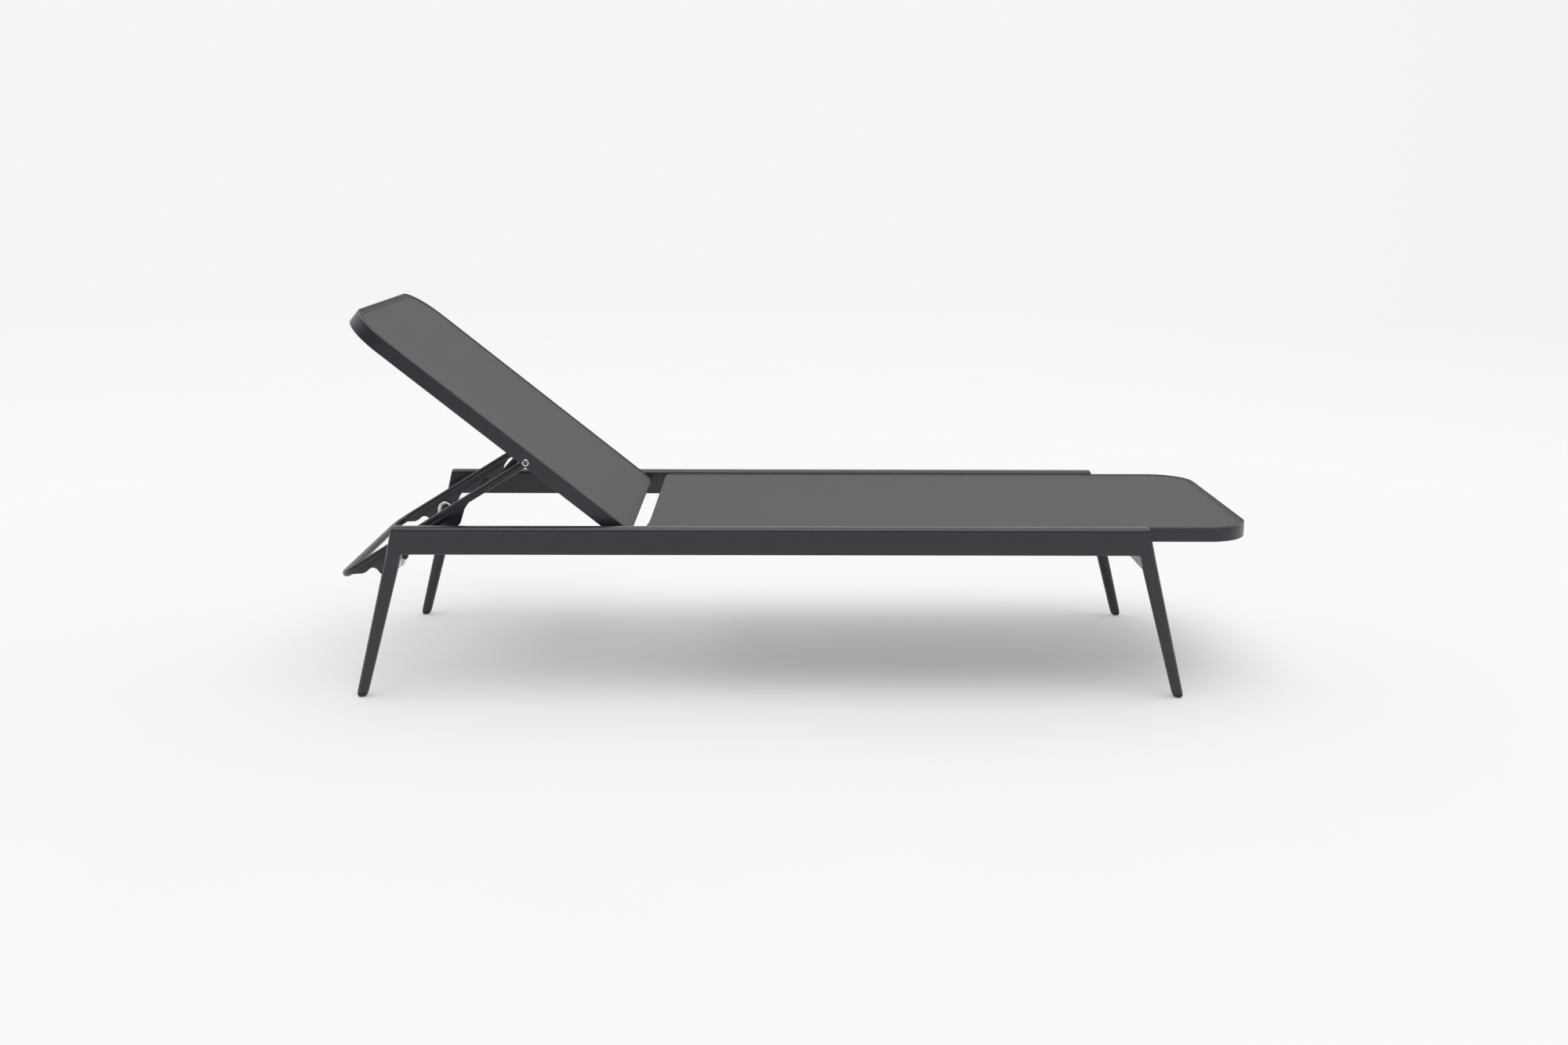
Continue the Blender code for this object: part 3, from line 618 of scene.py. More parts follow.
def bar_section():
    """Frame bar as (inwards, up) points: outer lip, fine groove, inner lip, seat for the cloth's cord."""
    bottom = -BAR_HEIGHT
    corners = [((0.0, bottom), 0.0020), ((0.0, 0.0), 0.0011), ((0.0024, 0.0), 0.0004),
               ((0.0024, -0.0032), 0.0003), ((0.0037, -0.0032), 0.0003), ((0.0037, -0.0008), 0.0004),
               ((0.0055, -0.0008), 0.0005), ((0.0055, -0.0045), 0.0003), ((BAR_WIDTH, -0.0045), 0.0008),
               ((BAR_WIDTH, bottom), 0.0020)]
    outline = rounded_outline([point for point, _ in corners], [radius for _, radius in corners], 3)
    held, marks = [], []
    for i, point in enumerate(outline):
        here, after = Vector(point), Vector(outline[(i + 1) % len(outline)])
        held.append(tuple(here))
        # Lip tops get the full edge mark, which the coat lightens as rubbed wear and a painted highlight; the
        # rest of the bar gets half.
        marks.append(1.0 if here.y > -0.0012 and here.x < 0.006 else 0.5)
        span = (after - here).length
        if span > 0.006:
            for share in (0.0012 / span, 1.0 - 0.0012 / span):
                held.append(tuple(here.lerp(after, share)))
                marks.append(0.0)
    return held, marks


def bent_bar(name, length, half, place, body, nodes):
    """Frame bar of a panel: its section carried along the plan line."""
    line = panel_line(length, half)
    section, marks = bar_section()
    columns = [[(p.x, p.y, up) for p in moved_in(line, inwards)] for inwards, up in section]
    rings = [[column[i] for column in columns] for i in range(len(line))]
    return settle(mesh_object(name, loft(rings, marks), COAT, place, 30.0), body, nodes)


# cloth's upper face beside the frame: (distance from the cloth's edge, height)
HEM = ((0.0, -0.0031), (0.0004, -0.0017), (0.0010, -0.0008), (0.0017, -0.00025), (0.0025, -0.0001),
       (0.0033, -0.0004), (0.0042, -0.0011), (0.0051, -0.0017), (0.0060, -0.0021), (0.0068, -0.0023),
       (0.0076, -0.0020), (0.0086, -0.0017), (0.0100, -0.0016), (0.0120, -0.0016), (0.0150, -0.0016),
       (0.0200, -0.0018))
HEM_WIDTH = HEM[-1][0]
SEAM_AT = 0.0068
SEAT_FOLD = (-0.0062, 0.0022)        # where the cloth's open edge starts to bend, and its radius
BACK_FOLD = (0.0036, 0.0080)
CLOTH_ROWS, CLOTH_COLUMNS = 46, 40   # faces along the straight sides and across
TURN_STEPS = 16                      # faces round each rounded corner


def cloth_height(t, y, length, half, sag, seed):
    """Sag and faint slackness of the stretched cloth, nothing at its edges."""
    inner = half - CLOTH_INSET - HEM_WIDTH
    across = max(0.0, 1.0 - (y / inner) ** 2)
    run = (t - TUBE_AT) / (length - TUBE_AT - CLOTH_INSET - HEM_WIDTH)
    along = max(0.0, 1.0 - abs(2.0 * run - 1.0) ** 5)
    slack = noise.noise(Vector((t * 5.0, y * 4.0, seed))) * 0.0009
    slack += noise.noise(Vector((t * 14.0, y * 7.0, seed + 4.0))) * 0.00025
    return (slack - sag) * across ** 0.8 * along


def cloth_path(length, half, fold):
    """Plan line of the cloth's edge, with the rows before the rounded corners and those through them."""
    bend_at = fold[0]
    straight = length - CORNER
    rows = [bend_at + (TUBE_AT - bend_at) * share for share in (0.0, 0.25, 0.5, 0.75)]
    rows += [TUBE_AT + (straight - TUBE_AT) * i / CLOTH_ROWS for i in range(CLOTH_ROWS)]
    corners = panel_line(length, half, TURN_STEPS)[1:-1]
    left_corner, right_corner = corners[:TURN_STEPS + 1], corners[TURN_STEPS + 1:]
    end_half = half - CORNER
    end_line = [(length, end_half - 2.0 * end_half * i / CLOTH_COLUMNS) for i in range(1, CLOTH_COLUMNS)]
    path = [(t, half) for t in rows] + left_corner + end_line + right_corner
    return path + [(t, -half) for t in reversed(rows)], rows


def cloth_panel(name, length, half, sag, fold, flare, place, body, nodes, seed):
    """Stretched sling: corded hem round three sides and a sleeve round the tube at the open end."""
    path, stations = cloth_path(length, half, fold)
    bend_at, bend = fold
    reach = half - CLOTH_INSET - HEM_WIDTH
    bm = bmesh.new()
    hem_layer = bm.verts.layers.float.new("hem")
    uv_layer = bm.verts.layers.float_vector.new("plan")

    def add(t, y, z, plan_t, hem):
        outward = max(0.0, min(1.0, (TUBE_AT - t) / (TUBE_AT + 0.004)))
        pull = flare * min(max(-y / reach, 0.0), 1.03) ** 10 * outward
        vertex = bm.verts.new((t - pull, y, z))
        vertex[uv_layer] = (plan_t, y, 0.0)
        vertex[hem_layer] = hem
        return vertex

    # corded hem
    strips = []
    for distance, up in HEM:
        hem = 1.0 if distance < SEAM_AT - 0.0004 else 0.0
        strips.append([add(p.x, p.y, up, p.x, hem) for p in moved_in(path, CLOTH_INSET + distance)])
    for outer, inner in zip(strips, strips[1:]):
        for i in range(len(outer) - 1):
            bm.faces.new((outer[i], inner[i], inner[i + 1], outer[i + 1]))

    # stretched middle, from the open end to the closed end
    rim = strips[-1]
    rows = len(stations) + TURN_STEPS + 1
    left, right = rim[:rows], list(reversed(rim))[:rows]
    grid = []
    for k, (a, b) in enumerate(zip(left[:-1], right[:-1])):
        row = [a]
        for j in range(1, CLOTH_COLUMNS):
            y = a.co.y + (b.co.y - a.co.y) * j / CLOTH_COLUMNS
            t = stations[k] if k < len(stations) else a.co.x
            row.append(add(t, y, a.co.z + cloth_height(t, y, length, half, sag, seed), t, 0.0))
        grid.append(row + [b])
    grid.append(rim[rows - 1:rows + CLOTH_COLUMNS])
    for low, high in zip(grid, grid[1:]):
        for j in range(CLOTH_COLUMNS):
            bm.faces.new((low[j], low[j + 1], high[j + 1], high[j]))

    # sleeve: over the fold, round the tube, and back along the underside
    crown, last = grid[0][0].co.z, grid[0]
    wrap = arc((bend_at, crown - bend), bend, QUARTER, 2.6 * QUARTER, 8)[1:]
    wrap += arc((TUBE_AT, -TUBE_DROP), SLEEVE_RADIUS, math.radians(165.0), math.radians(318.0), 14)
    wrap += [(0.0290, -0.0125), (0.0350, -0.0062), (0.0400, -0.0047), (0.0460, -0.0047), (0.0520, -0.0047)]
    run, previous = 0.0, (bend_at, crown)
    for t, z in wrap:
        run += math.hypot(t - previous[0], z - previous[1])
        previous = (t, z)
        row = []
        for vertex in grid[0]:
            y = vertex.co.y
            drop = cloth_height(t, y, length, half, sag, seed) if t > 0.032 else 0.0
            row.append(add(t, y, z + drop, bend_at - run, 0.5))
        for j in range(CLOTH_COLUMNS):
            bm.faces.new((row[j], row[j + 1], last[j + 1], last[j]))
        last = row

    bmesh.ops.recalc_face_normals(bm, faces=bm.faces)
    if sum(face.normal.z for face in bm.faces) < 0.0:
        bmesh.ops.reverse_faces(bm, faces=bm.faces)
    weave = bm.loops.layers.uv.new("weave")
    for face in bm.faces:
        for corner in face.loops:
            corner[weave].uv = corner.vert[uv_layer].xy
    bm.verts.layers.float_vector.remove(uv_layer)
    piece = mesh_object(name, bm, CLOTH_FINISH, place, 60.0)
    solidify = piece.modifiers.new("thickness", "SOLIDIFY")
    solidify.thickness = CLOTH
    solidify.offset = -1.0
    baked(piece)
    return settle(piece, body, nodes)


def stitch_tree():
    """Geometry tree: stitches of one length laid nose to tail along a path."""
    tree = bpy.data.node_groups.new("stitch_row", "GeometryNodeTree")
    tree.interface.new_socket("Geometry", in_out="INPUT", socket_type="NodeSocketGeometry")
    for name in ("Pitch", "Length", "Thickness"):
        tree.interface.new_socket(name, in_out="INPUT", socket_type="NodeSocketFloat")
    tree.interface.new_socket("Finish", in_out="INPUT", socket_type="NodeSocketMaterial")
    tree.interface.new_socket("Geometry", in_out="OUTPUT", socket_type="NodeSocketGeometry")
    g = Graph(tree)
    given = g.add("NodeGroupInput", out=None)
    pitch, length, thick = (given.outputs[name] for name in ("Pitch", "Length", "Thickness"))
    curve = g.add("GeometryNodeMeshToCurve", None, {"Mesh": given.outputs["Geometry"]})
    spaced = g.add("GeometryNodeResampleCurve", {"mode": "LENGTH"}, {"Curve": curve, "Length": pitch})
    ball = g.add("GeometryNodeMeshUVSphere", None, {"Segments": 6, "Rings": 5, "Radius": 0.5})
    size = g.add("ShaderNodeCombineXYZ", None, {0: thick, 1: thick, 2: length})
    shaped = g.add("GeometryNodeTransform", None, {"Geometry": ball, "Scale": size})
    tangent = g.add("GeometryNodeInputTangent")
    turned = g.add("FunctionNodeAlignRotationToVector", {"axis": "Z"}, {"Vector": tangent})
    placed = g.add("GeometryNodeInstanceOnPoints", None,
                   {"Points": spaced, "Instance": shaped, "Rotation": turned})
    real = g.add("GeometryNodeRealizeInstances", None, {"Geometry": placed})
    done = g.add("GeometryNodeSetMaterial", None, {"Geometry": real, "Material": given.outputs["Finish"]})
    g.add("NodeGroupOutput", None, {"Geometry": done}, None)
    return tree


STITCHES = stitch_tree()


def stitch_row(name, path, place, body):
    """Row of stitches along a path, as one plain mesh."""
    bm = bmesh.new()
    row = [bm.verts.new(point) for point in path]
    for a, b in zip(row, row[1:]):
        bm.edges.new((a, b))
    piece = mesh_object(name, bm, THREAD, place)
    modifier = piece.modifiers.new("stitches", "NODES")
    modifier.node_group = STITCHES
    values = {"Pitch": STITCH_PITCH, "Length": STITCH_LENGTH, "Thickness": THREAD_WIDTH, "Finish": THREAD}
    for item in STITCHES.interface.items_tree:
        if item.in_out == "INPUT" and item.name in values:
            modifier[item.identifier] = values[item.name]
    baked(piece)
    piece.data.materials.clear()
    piece.data.materials.append(THREAD)
    piece.data.polygons.foreach_set("material_index", [0] * len(piece.data.polygons))
    piece.data.shade_smooth()
    return settle(piece, body)


def seam_path(length, half):
    """Seam along the corded hem."""
    straight = (-0.003, 0.2 * length, 0.5 * length)
    line = [(t, half) for t in straight] + panel_line(length, half, TURN_STEPS)[1:-1]
    line += [(t, -half) for t in reversed(straight)]
    return [(p.x, p.y, -0.0021) for p in moved_in(line, CLOTH_INSET + SEAM_AT)]


bent_bar("seat_bar", SEAT_LENGTH, SEAT_HALF, SEAT_PLACE, "base", ["seat_frame"])
bent_bar("back_bar", BACK_LENGTH, BACK_HALF, BACK_PLACE, "back", ["back_frame"])
seat_cloth = cloth_panel("seat_cloth", SEAT_LENGTH, SEAT_HALF, 0.0040, SEAT_FOLD, 0.0034, SEAT_PLACE, "base",
                         ["seat_sling", "seat_keder"], 1.0)
back_cloth = cloth_panel("back_cloth", BACK_LENGTH, BACK_HALF, 0.0035, BACK_FOLD, 0.0020, BACK_PLACE, "back",
                         ["back_sling", "back_keder"], 7.0)
seat_seam = stitch_row("seat_seams", seam_path(SEAT_LENGTH, SEAT_HALF), SEAT_PLACE, "base")
back_seam = stitch_row("back_seams", seam_path(BACK_LENGTH, BACK_HALF), BACK_PLACE, "back")


# ---------------------------------------------------------------- tubes across the panels
def round_outline(x, z, radius, sides=28):
    turns = [2.0 * math.pi * k / sides for k in range(sides)]
    return [(x + radius * math.cos(a), z + radius * math.sin(a)) for a in turns]


def cross_tube(name, x, z, reach, radius, body, nodes, place=None, bow=0.0, material=COAT):
    """Round tube from side to side with welded ends; a bow makes it hang down in the middle."""
    middle = [reach * (i / 9.0 - 1.0) for i in range(1, 18)] if bow else []
    sections = []
    for y, grow in welded_stations(reach, middle):
        drop = bow * (1.0 - (y / reach) ** 2)
        sections.append((y, round_outline(x, z - drop, radius + grow)))
    return cross_piece(name, sections, body, nodes, material, place)


SEAT_REACH = SEAT_HALF - BAR_WIDTH - 0.0002
BACK_REACH = BACK_HALF - BAR_WIDTH - 0.0002
cross_tube("seat_sleeve_tube", SEAT_LOW.x + TUBE_AT, PANEL_TOP - TUBE_DROP, SEAT_REACH, SEAT_TUBE, "base",
           ["seat_head_tube"])
for number, spreader_x in ((1, 0.17), (2, 0.58)):
    cross_tube(f"seat_stretcher_{number}", BASE_X + spreader_x, PANEL_TOP - 0.019, SEAT_REACH, STRETCHER_TUBE,
               "base", [f"seat_spreader_{number}"], bow=STRETCHER_BOW)
cross_tube("back_sleeve_tube", BACK_TAIL - TUBE_AT, HINGE_DROP - TUBE_DROP, BACK_TUBE_REACH, BACK_TUBE,
           "back", ["back_foot_tube"], BACK_FRAME)
cross_tube("back_stretcher", -0.47, HINGE_DROP - 0.0165, BACK_REACH, STRETCHER_TUBE, "back",
           ["back_spreader"], BACK_FRAME, bow=STRETCHER_BOW)


# ---------------------------------------------------------------- stand
def swept_tube(path, radius, sides=24):
    """Round tube along a level path."""
    points = [Vector(p) for p in path]
    legs = [(b - a).normalized() for a, b in zip(points, points[1:])]
    rings = []
    for i, point in enumerate(points):
        before, after = legs[max(i - 1, 0)], legs[min(i, len(legs) - 1)]
        along = (before + after).normalized()
        up = Vector((0.0, 0.0, 1.0))
        sideways = up.cross(along) / max(along.dot(before), 0.5)
        turns = [2.0 * math.pi * k / sides for k in range(sides)]
        rings.append([point + radius * (math.cos(a) * up + math.sin(a) * sideways) for a in turns])
    return loft(rings)


def lathe(profile, x, z, side, sides=40, ring_loop=False):
    """Turned shape about a line along Y from (radius, distance from the middle) pairs.

    A third value of 1 makes a ring a hexagon, 2 a hexagon inside a recess, 3 a round ring inside a recess;
    recess rings get a radius mark of 0, which the steel finish paints dark as painted shade.
    """
    rings, marks = [], []
    for radius, y, *shape in profile:
        ring = []
        for k in range(sides):
            a = 2.0 * math.pi * k / sides
            reach = radius
            if shape and shape[0] < 3:
                reach = radius / math.cos((a % (math.pi / 3.0)) - math.pi / 6.0)
            ring.append((x + reach * math.cos(a), side * y, z + reach * math.sin(a)))
        rings.append(ring)
        # Rings inside a recess carry 0, which the steel finish paints dark as painted shade.
        marks.append([0.0 if shape and shape[0] > 1 else radius] * sides)
    return loft(rings, marks, "radius", ring_loop)


def turned_piece(name, profile, at, side, material, body, nodes, place=None, ring_loop=False, sides=40):
    bm = lathe(profile, at[0], at[1], side, sides, ring_loop)
    return settle(mesh_object(name, bm, material, place, 30.0), body, nodes)


def settle_on_stand(piece, sharp, nodes):
    """Turn a piece from the stand's flat frame into place."""
    piece.data.transform(STAND_PLACE)
    piece.data.shade_smooth()
    piece.data.set_sharp_from_angle(angle=math.radians(sharp))
    return settle(piece, "stand", nodes)


def stand_hoop():
    """Side bars and handle bent from one tube, with an eye welded on each end."""
    corner = (STAND_BEND - STAND_REACH, STAND_HALF - STAND_BEND)
    bend = arc(corner, STAND_BEND, QUARTER, 2.0 * QUARTER, 12)
    half = [(-0.006, STAND_HALF), (-0.06, STAND_HALF), (-0.20, STAND_HALF), (-0.34, STAND_HALF), *bend]
    line = half + [(x, -y) for x, y in reversed(half)]
    piece = mesh_object("stand_hoop", swept_tube([(x, y, -BAR_DROP) for x, y in line], STAND_TUBE), COAT)
    eyes = []
    for _, side in SIDES:
        inner, outer = STAND_HALF - STAND_TUBE, STAND_HALF + STAND_TUBE
        ease = 0.0010
        profile = ((EYE_RADIUS - ease, inner), (EYE_RADIUS, inner + ease), (EYE_RADIUS, outer - ease),
                   (EYE_RADIUS - ease, outer))
        eyes.append(mesh_object("eye", lathe(profile, 0.0, 0.0, side), COAT))
        bore = ((BORE, inner - 0.002), (BORE, outer + 0.002))
        eyes.append(mesh_object("bore", lathe(bore, 0.0, 0.0, side, 24), COAT))
    combine(piece, [eyes[0], eyes[2]])
    combine(piece, [eyes[1], eyes[3]], "DIFFERENCE")
    return settle_on_stand(piece, 35.0, ["stand_bar_left", "stand_bar_right", "stand_handle"])


def plate_outline():
    """Notched edge of the plate as (distance from the pivot, drop), four notches from the handle inwards."""
    outline, radii = [], []

    def put(points, radius):
        outline.extend(points)
        radii.extend([radius] * len(points))

    top = BAR_DROP + STAND_TUBE - 0.0015
    put([(0.446, top)], 0.0)
    put([(0.437, 0.0140), (0.4270, 0.0198), (0.4180, 0.0212)], 0.010)
    for k in range(4):
        centre = (NOTCH_AT + (1 - k) * NOTCH_PITCH, NOTCH_DROP if k else RAISED_DROP)
        if k:
            put([(centre[0] + 0.0215, 0.0299), (centre[0] + 0.0145, 0.0244)], 0.006)
        put(arc(centre, NOTCH_RADIUS, math.radians(-50.0 if k else -74.0), math.radians(-170.0), 12), 0.0)
        hook = centre[0] - NOTCH_RADIUS
        put([(hook - 0.0003, TOOTH_DROP - 0.0035)], 0.003)
        put([(hook - 0.0030, TOOTH_DROP), (hook - 0.0075, TOOTH_DROP - 0.0010)], 0.005)
    last = NOTCH_AT - 2.0 * NOTCH_PITCH
    put([(last - 0.0365, TOOTH_DROP - 0.0050), (last - 0.0605, 0.0172)], 0.012)
    put([(last - 0.0780, top)], 0.0)
    return rounded_outline(outline, radii, 5)


def notched_plate(name, side):
    """Cut plate with softened edges and two pressed grooves under the bar on each face."""
    curve = bpy.data.curves.new("plate", "CURVE")
    curve.dimensions = "2D"
    curve.fill_mode = "BOTH"
    ease = 0.0006
    curve.extrude = PLATE / 2.0 - ease
    curve.bevel_depth = ease
    curve.bevel_resolution = 1
    curve.offset = -ease
    points = plate_outline()
    spline = curve.splines.new("POLY")
    spline.points.add(len(points) - 1)
    for target, (along, drop) in zip(spline.points, points):
        target.co = (-along, -drop, 0.0, 1.0)
    spline.use_cyclic_u = True
    shape = bpy.data.objects.new("plate_curve", curve)
    bpy.context.scene.collection.objects.link(shape)
    graph = bpy.context.evaluated_depsgraph_get()
    mesh = bpy.data.meshes.new_from_object(shape.evaluated_get(graph))
    bpy.data.objects.remove(shape)
    bm = bmesh.new()
    bm.from_mesh(mesh)
    bpy.data.meshes.remove(mesh)
    bmesh.ops.remove_doubles(bm, verts=bm.verts, dist=0.00002)
    upright = Matrix.Translation((0.0, side * STAND_HALF, 0.0)) @ Matrix.Rotation(QUARTER, 4, "X")
    bm.transform(upright)
    bmesh.ops.recalc_face_normals(bm, faces=bm.faces)
    piece = mesh_object("notched_plate_" + name, bm, COAT)
    cutters = []
    for start, end in GROOVES:
        groove = (arc((-end, -GROOVE_DROP), GROOVE_HALF, 3 * QUARTER, QUARTER, 6)
                  + arc((-start, -GROOVE_DROP), GROOVE_HALF, QUARTER, -QUARTER, 6))
        for face in (-1.0, 1.0):
            depths = (side * STAND_HALF + face * 0.0008, side * STAND_HALF + face * 0.0040)
            rings = [[(x, y, z) for x, z in groove] for y in depths]
            cutters.append(mesh_object("cutter", loft(rings), COAT))
    combine(piece, cutters, "DIFFERENCE")
    return settle_on_stand(piece, 30.0, ["ratchet_plate_" + name])


stand_hoop()
cross_tube("stand_brace", -STAND_BRACE, -BAR_DROP, STAND_HALF - STAND_TUBE + 0.0012, STAND_TUBE, "stand",
           ["stand_cross_tube"], STAND_PLACE, material=MATT_COAT)
for side_name, side_sign in SIDES:
    notched_plate(side_name, side_sign)


# ---------------------------------------------------------------- studs and fixings
def button_head(head, radius, height, socket, shank, tip):
    """Button-head screw with a hexagon socket, from its tip to the bottom of the socket."""
    dome = [(radius, head + 0.30 * height), (0.965 * radius, head + 0.62 * height),
            (0.875 * radius, head + 0.86 * height), (0.76 * radius, head + 0.97 * height),
            (0.62 * radius, head + height)]
    rim = head + height
    return ([(shank * 0.8, tip), (shank, tip + math.copysign(0.0008, head - tip)), (shank, head),
             (radius * 0.96, head), (radius, head + 0.0003)] + dome
            # The socket's rings are marked as inside a recess, so the steel finish paints them dark as
            # painted shade.
            + [(socket * 1.12, rim), (socket * 1.07, rim - 0.0003, 3), (socket, rim - 0.0006, 2),
               (socket, rim - 0.0032, 2), (socket * 0.25, rim - 0.0036, 3)])


def mirrored_head(face, radius, height, socket, shank, tip):
    """The same screw with its head towards the lounger's middle."""
    return [(r, 2.0 * face - y, *shape) for r, y, *shape in
            button_head(face, radius, height, socket, shank, 2.0 * face - tip)]


def ring(outer, bore, low, high, ease=0.0004):
    """Plain bush or washer with eased rims, as a closed profile."""
    return [(bore, low), (outer - ease, low), (outer, low + ease), (outer, high - ease), (outer - ease, high),
            (bore, high)]


def stud(name, side):
    """Turned stud: collar on the leg, waist through the plate's notch, end flange inboard of the plate."""
    end, outer = 0.2466, 0.2997
    profile = [(0.0046, outer), (0.0150, outer), (0.0155, outer - 0.0006), (0.0155, outer - 0.0060),
               (0.0152, outer - 0.0068), (0.0142, outer - 0.0072), (0.0142, outer - 0.0086),
               (0.0152, outer - 0.0090), (0.0155, outer - 0.0098), (0.0155, outer - 0.0180),
               (0.0149, outer - 0.0190), (0.0118, outer - 0.0200), (0.0112, outer - 0.0210),
               (0.0112, end + 0.0042), (0.0118, end + 0.0032), (0.0172, end + 0.0031), (0.0182, end + 0.0026),
               (0.0185, end + 0.0018), (0.0183, end + 0.0008), (0.0175, end), (0.0150, end),
               (0.0136, end + 0.0004), (0.0126, end + 0.0011), (0.0108, end + 0.0014), (0.0046, end + 0.0014)]
    turned_piece("stand_stud_turned_" + name, profile, (STUD.x, STUD.z), side, STEEL, "base",
                 ["stand_stud_" + name], ring_loop=True, sides=56)
    core = [(0.0038, 0.2990), (0.0040, 0.2980), (0.0040, end + 0.0016), (0.0098, end + 0.0016),
            (0.0102, end + 0.0012), (0.0102, end - 0.0012), (0.0094, end - 0.0022), (0.0074, end - 0.0028),
            (0.0040, end - 0.0028), (0.0036, end - 0.0026), (0.0030, end - 0.0024, 2),
            (0.0030, end + 0.0002, 2), (0.0008, end + 0.0006, 3)]
    turned_piece("stud_plug_" + name, core, (STUD.x, STUD.z), side, COAT, "base",
                 ["stand_stud_bolt_" + name], sides=48)


M8_HEAD = (0.0076, 0.0044)           # a button head's radius and height
M6_HEAD = (0.0052, 0.0033)
M8_SHANK = 0.004                     # radius
M6_SHANK = 0.003
SPACER_SPAN = 0.2998                 # outer end of the spacers, against the rail
FRAME_SCREWS = (("head", -0.19), ("foot", 0.69))
FRAME_SCREW_Z = 0.340


def frame_fixings(name, side):
    """The seat frame's screws and spacers on one side."""
    head = SEAT_HALF - BAR_WIDTH - 0.0002
    for place, screw_x in FRAME_SCREWS:
        at = (BASE_X + screw_x, FRAME_SCREW_Z)
        turned_piece(f"frame_spacer_{place}_{name}", ring(0.008, 0.0033, SEAT_HALF + 0.0002, SPACER_SPAN),
                     at, side, PLASTIC, "base", [f"seat_spacer_{place}_{name}"], ring_loop=True)
        turned_piece(f"frame_screw_{place}_{name}", mirrored_head(head, *M6_HEAD, 0.0019, M6_SHANK, 0.3155),
                     at, side, STEEL, "base", [f"seat_screw_{place}_{name}"])


def hinge_fixings(name, side):
    """The back's hinge screw and bush on one side."""
    at = (HINGE.x, HINGE.z)
    head = BACK_HALF - BAR_WIDTH - 0.0002
    turned_piece("hinge_screw_" + name, mirrored_head(head, *M8_HEAD, 0.0025, M8_SHANK, 0.3195),
                 at, side, STEEL, "hinge_bolts", ["hinge_bolt_" + name])
    turned_piece("hinge_spacer_" + name, ring(0.010, BORE, BACK_HALF + 0.0002, SPACER_SPAN),
                 at, side, PLASTIC, "hinge_bolts", ["hinge_bush_" + name], ring_loop=True)


def pivot_fixings(name, side):
    """The stand's pivot screw, washer and nut on one side."""
    at = (PIVOT.x, PIVOT.z)
    turned_piece("stand_screw_" + name, button_head(BACK_HALF + 0.0002, *M8_HEAD, 0.0041, M8_SHANK, 0.2362),
                 at, side, STEEL, "pivot_bolts", ["pivot_screw_" + name], sides=48)
    turned_piece("stand_washer_" + name, ring(0.009, BORE, 0.2607, 0.2618, 0.0002),
                 at, side, PLASTIC, "pivot_bolts", ["pivot_washer_" + name], ring_loop=True)
    nut = [(BORE, 0.2378), (0.0060, 0.2378), (0.0065, 0.2384, 1), (0.0065, 0.2438, 1),
           (0.0062, 0.2442), (BORE, 0.2442)]
    turned_piece("stand_nut_" + name, nut, at, side, STEEL, "pivot_bolts", ["pivot_nut_" + name],
                 ring_loop=True, sides=48)


for side_name, side_sign in SIDES:
    stud(side_name, side_sign)
    frame_fixings(side_name, side_sign)
    hinge_fixings(side_name, side_sign)
    pivot_fixings(side_name, side_sign)


# ---------------------------------------------------------------- studio
FLOOR_RADIUS = 14.0
FLOOR_FADE = (3.0, 9.0)              # distances over which the floor gives way to the backdrop
FLOOR_GLOW = 0.29                    # share of the floor's light that no shadow takes away
OVERHEAD = (0.0, -0.26, 0.966)       # towards the middle of the overhead light
OVERHEAD_EDGE = (0.84, 0.93)         # its soft edge, as cosines from its middle
CAMERA_AT = (-0.0433, -3.5058, 1.0802)
CAMERA_LENS = 36.9
CAMERA_PITCH, CAMERA_YAW, CAMERA_ROLL = 0.2185, 0.0064, 0.0033


def studio_floor():
    """Pale floor that fades into the backdrop."""
    disc = bmesh.new()
    bmesh.ops.create_circle(disc, cap_ends=True, segments=96, radius=FLOOR_RADIUS)
    material, g = new_material("studio_floor")
    at = g.add("ShaderNodeTexCoord", None, None, "Object")
    reach = g.num("ShaderNodeVectorMath", {"operation": "LENGTH"}, {0: at}, "Value")
    patch = g.mix(g.noise(at, 1.7, 3.0), (0.850, 0.850, 0.850, 1.0), (0.870, 0.870, 0.868, 1.0))
    paint = g.add("ShaderNodeBsdfDiffuse", None, {"Color": patch})
    lit = g.add("ShaderNodeEmission", None, {"Color": (0.915, 0.912, 0.906, 1.0), "Strength": 1.0})
    filled = g.add("ShaderNodeMixShader", None, {0: FLOOR_GLOW, 1: paint, 2: lit})
    clear = g.add("ShaderNodeBsdfTransparent")
    faded = g.add("ShaderNodeMixShader", None, {0: reach.between(*FLOOR_FADE), 1: filled, 2: clear})
    g.add("ShaderNodeOutputMaterial", None, {"Surface": faded}, None)
    mesh_object("studio_floor", disc, material)


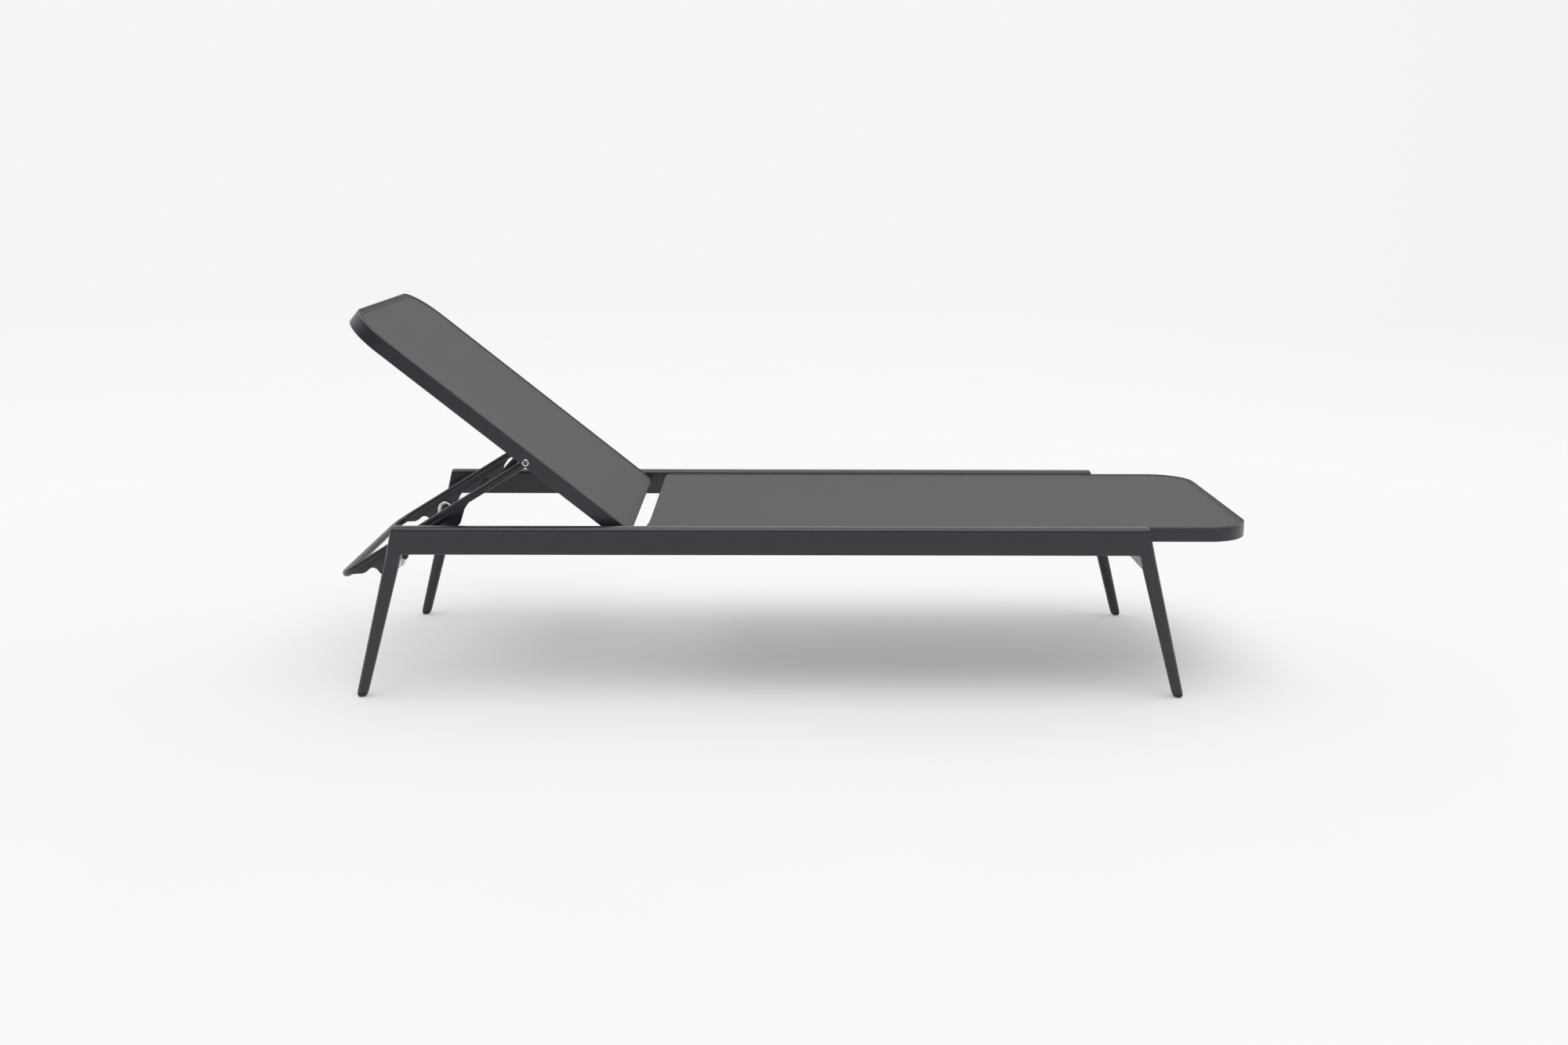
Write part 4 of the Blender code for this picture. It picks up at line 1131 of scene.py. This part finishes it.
def studio_light():
    """Soft light from a broad patch overhead and pale walls; the camera itself sees a plain backdrop."""
    world = bpy.data.worlds.new("studio")
    bpy.context.scene.world = world
    world.use_nodes = True
    world.node_tree.nodes.clear()
    g = Graph(world.node_tree)
    direction = g.add("ShaderNodeTexCoord", None, None, "Generated")
    parts = g.add("ShaderNodeSeparateXYZ", None, {0: direction}, None)
    rise = g.num("ShaderNodeVectorMath", {"operation": "DOT_PRODUCT"}, {0: direction, 1: OVERHEAD}, "Value")
    aside = Num(g, parts.outputs[0]).between(0.15, 0.60)
    behind = Num(g, parts.outputs[1]).between(-0.35, 0.15)
    walls = g.mix(behind, (0.20, 0.20, 0.215, 1.0), (0.915, 0.905, 0.890, 1.0))
    upper = g.mix(behind, (0.24, 0.235, 0.24, 1.0), (0.88, 0.87, 0.86, 1.0))
    low = g.mix(rise.between(0.40, 0.66), walls, upper)
    light = g.mix(rise.between(*OVERHEAD_EDGE), low, (2.98, 2.99, 3.01, 1.0))
    wall = g.mix(aside, (0.917, 0.917, 0.914, 1.0), (0.860, 0.872, 0.885, 1.0))
    seen = g.num("ShaderNodeLightPath", None, None, "Is Camera Ray")
    backdrop = g.add("ShaderNodeBackground", None, {"Color": wall, "Strength": 1.0})
    glow = g.add("ShaderNodeBackground", None, {"Color": light, "Strength": 1.0})
    both = g.add("ShaderNodeMixShader", None, {0: seen, 1: glow, 2: backdrop})
    g.add("ShaderNodeOutputWorld", None, {"Surface": both}, None)


def studio_camera():
    """Camera a little above seat height, square to the lounger's near side."""
    camera = bpy.data.cameras.new("camera")
    camera.lens = CAMERA_LENS
    camera.sensor_width = 36.0
    camera.clip_end = 100.0
    eye = bpy.data.objects.new("camera", camera)
    level = math.cos(CAMERA_PITCH)
    ahead = Vector((math.sin(CAMERA_YAW) * level, math.cos(CAMERA_YAW) * level, -math.sin(CAMERA_PITCH)))
    right = Vector((math.cos(CAMERA_YAW), -math.sin(CAMERA_YAW), 0.0))
    up = right.cross(ahead)
    rolled_right = right * math.cos(CAMERA_ROLL) + up * math.sin(CAMERA_ROLL)
    rolled_up = up * math.cos(CAMERA_ROLL) - right * math.sin(CAMERA_ROLL)
    turn = Matrix((rolled_right, rolled_up, -ahead)).transposed()
    eye.matrix_world = Matrix.Translation(CAMERA_AT) @ turn.to_4x4()
    bpy.context.scene.collection.objects.link(eye)
    bpy.context.scene.camera = eye


studio_floor()
studio_light()
studio_camera()
bpy.context.scene.view_settings.view_transform = "Standard"
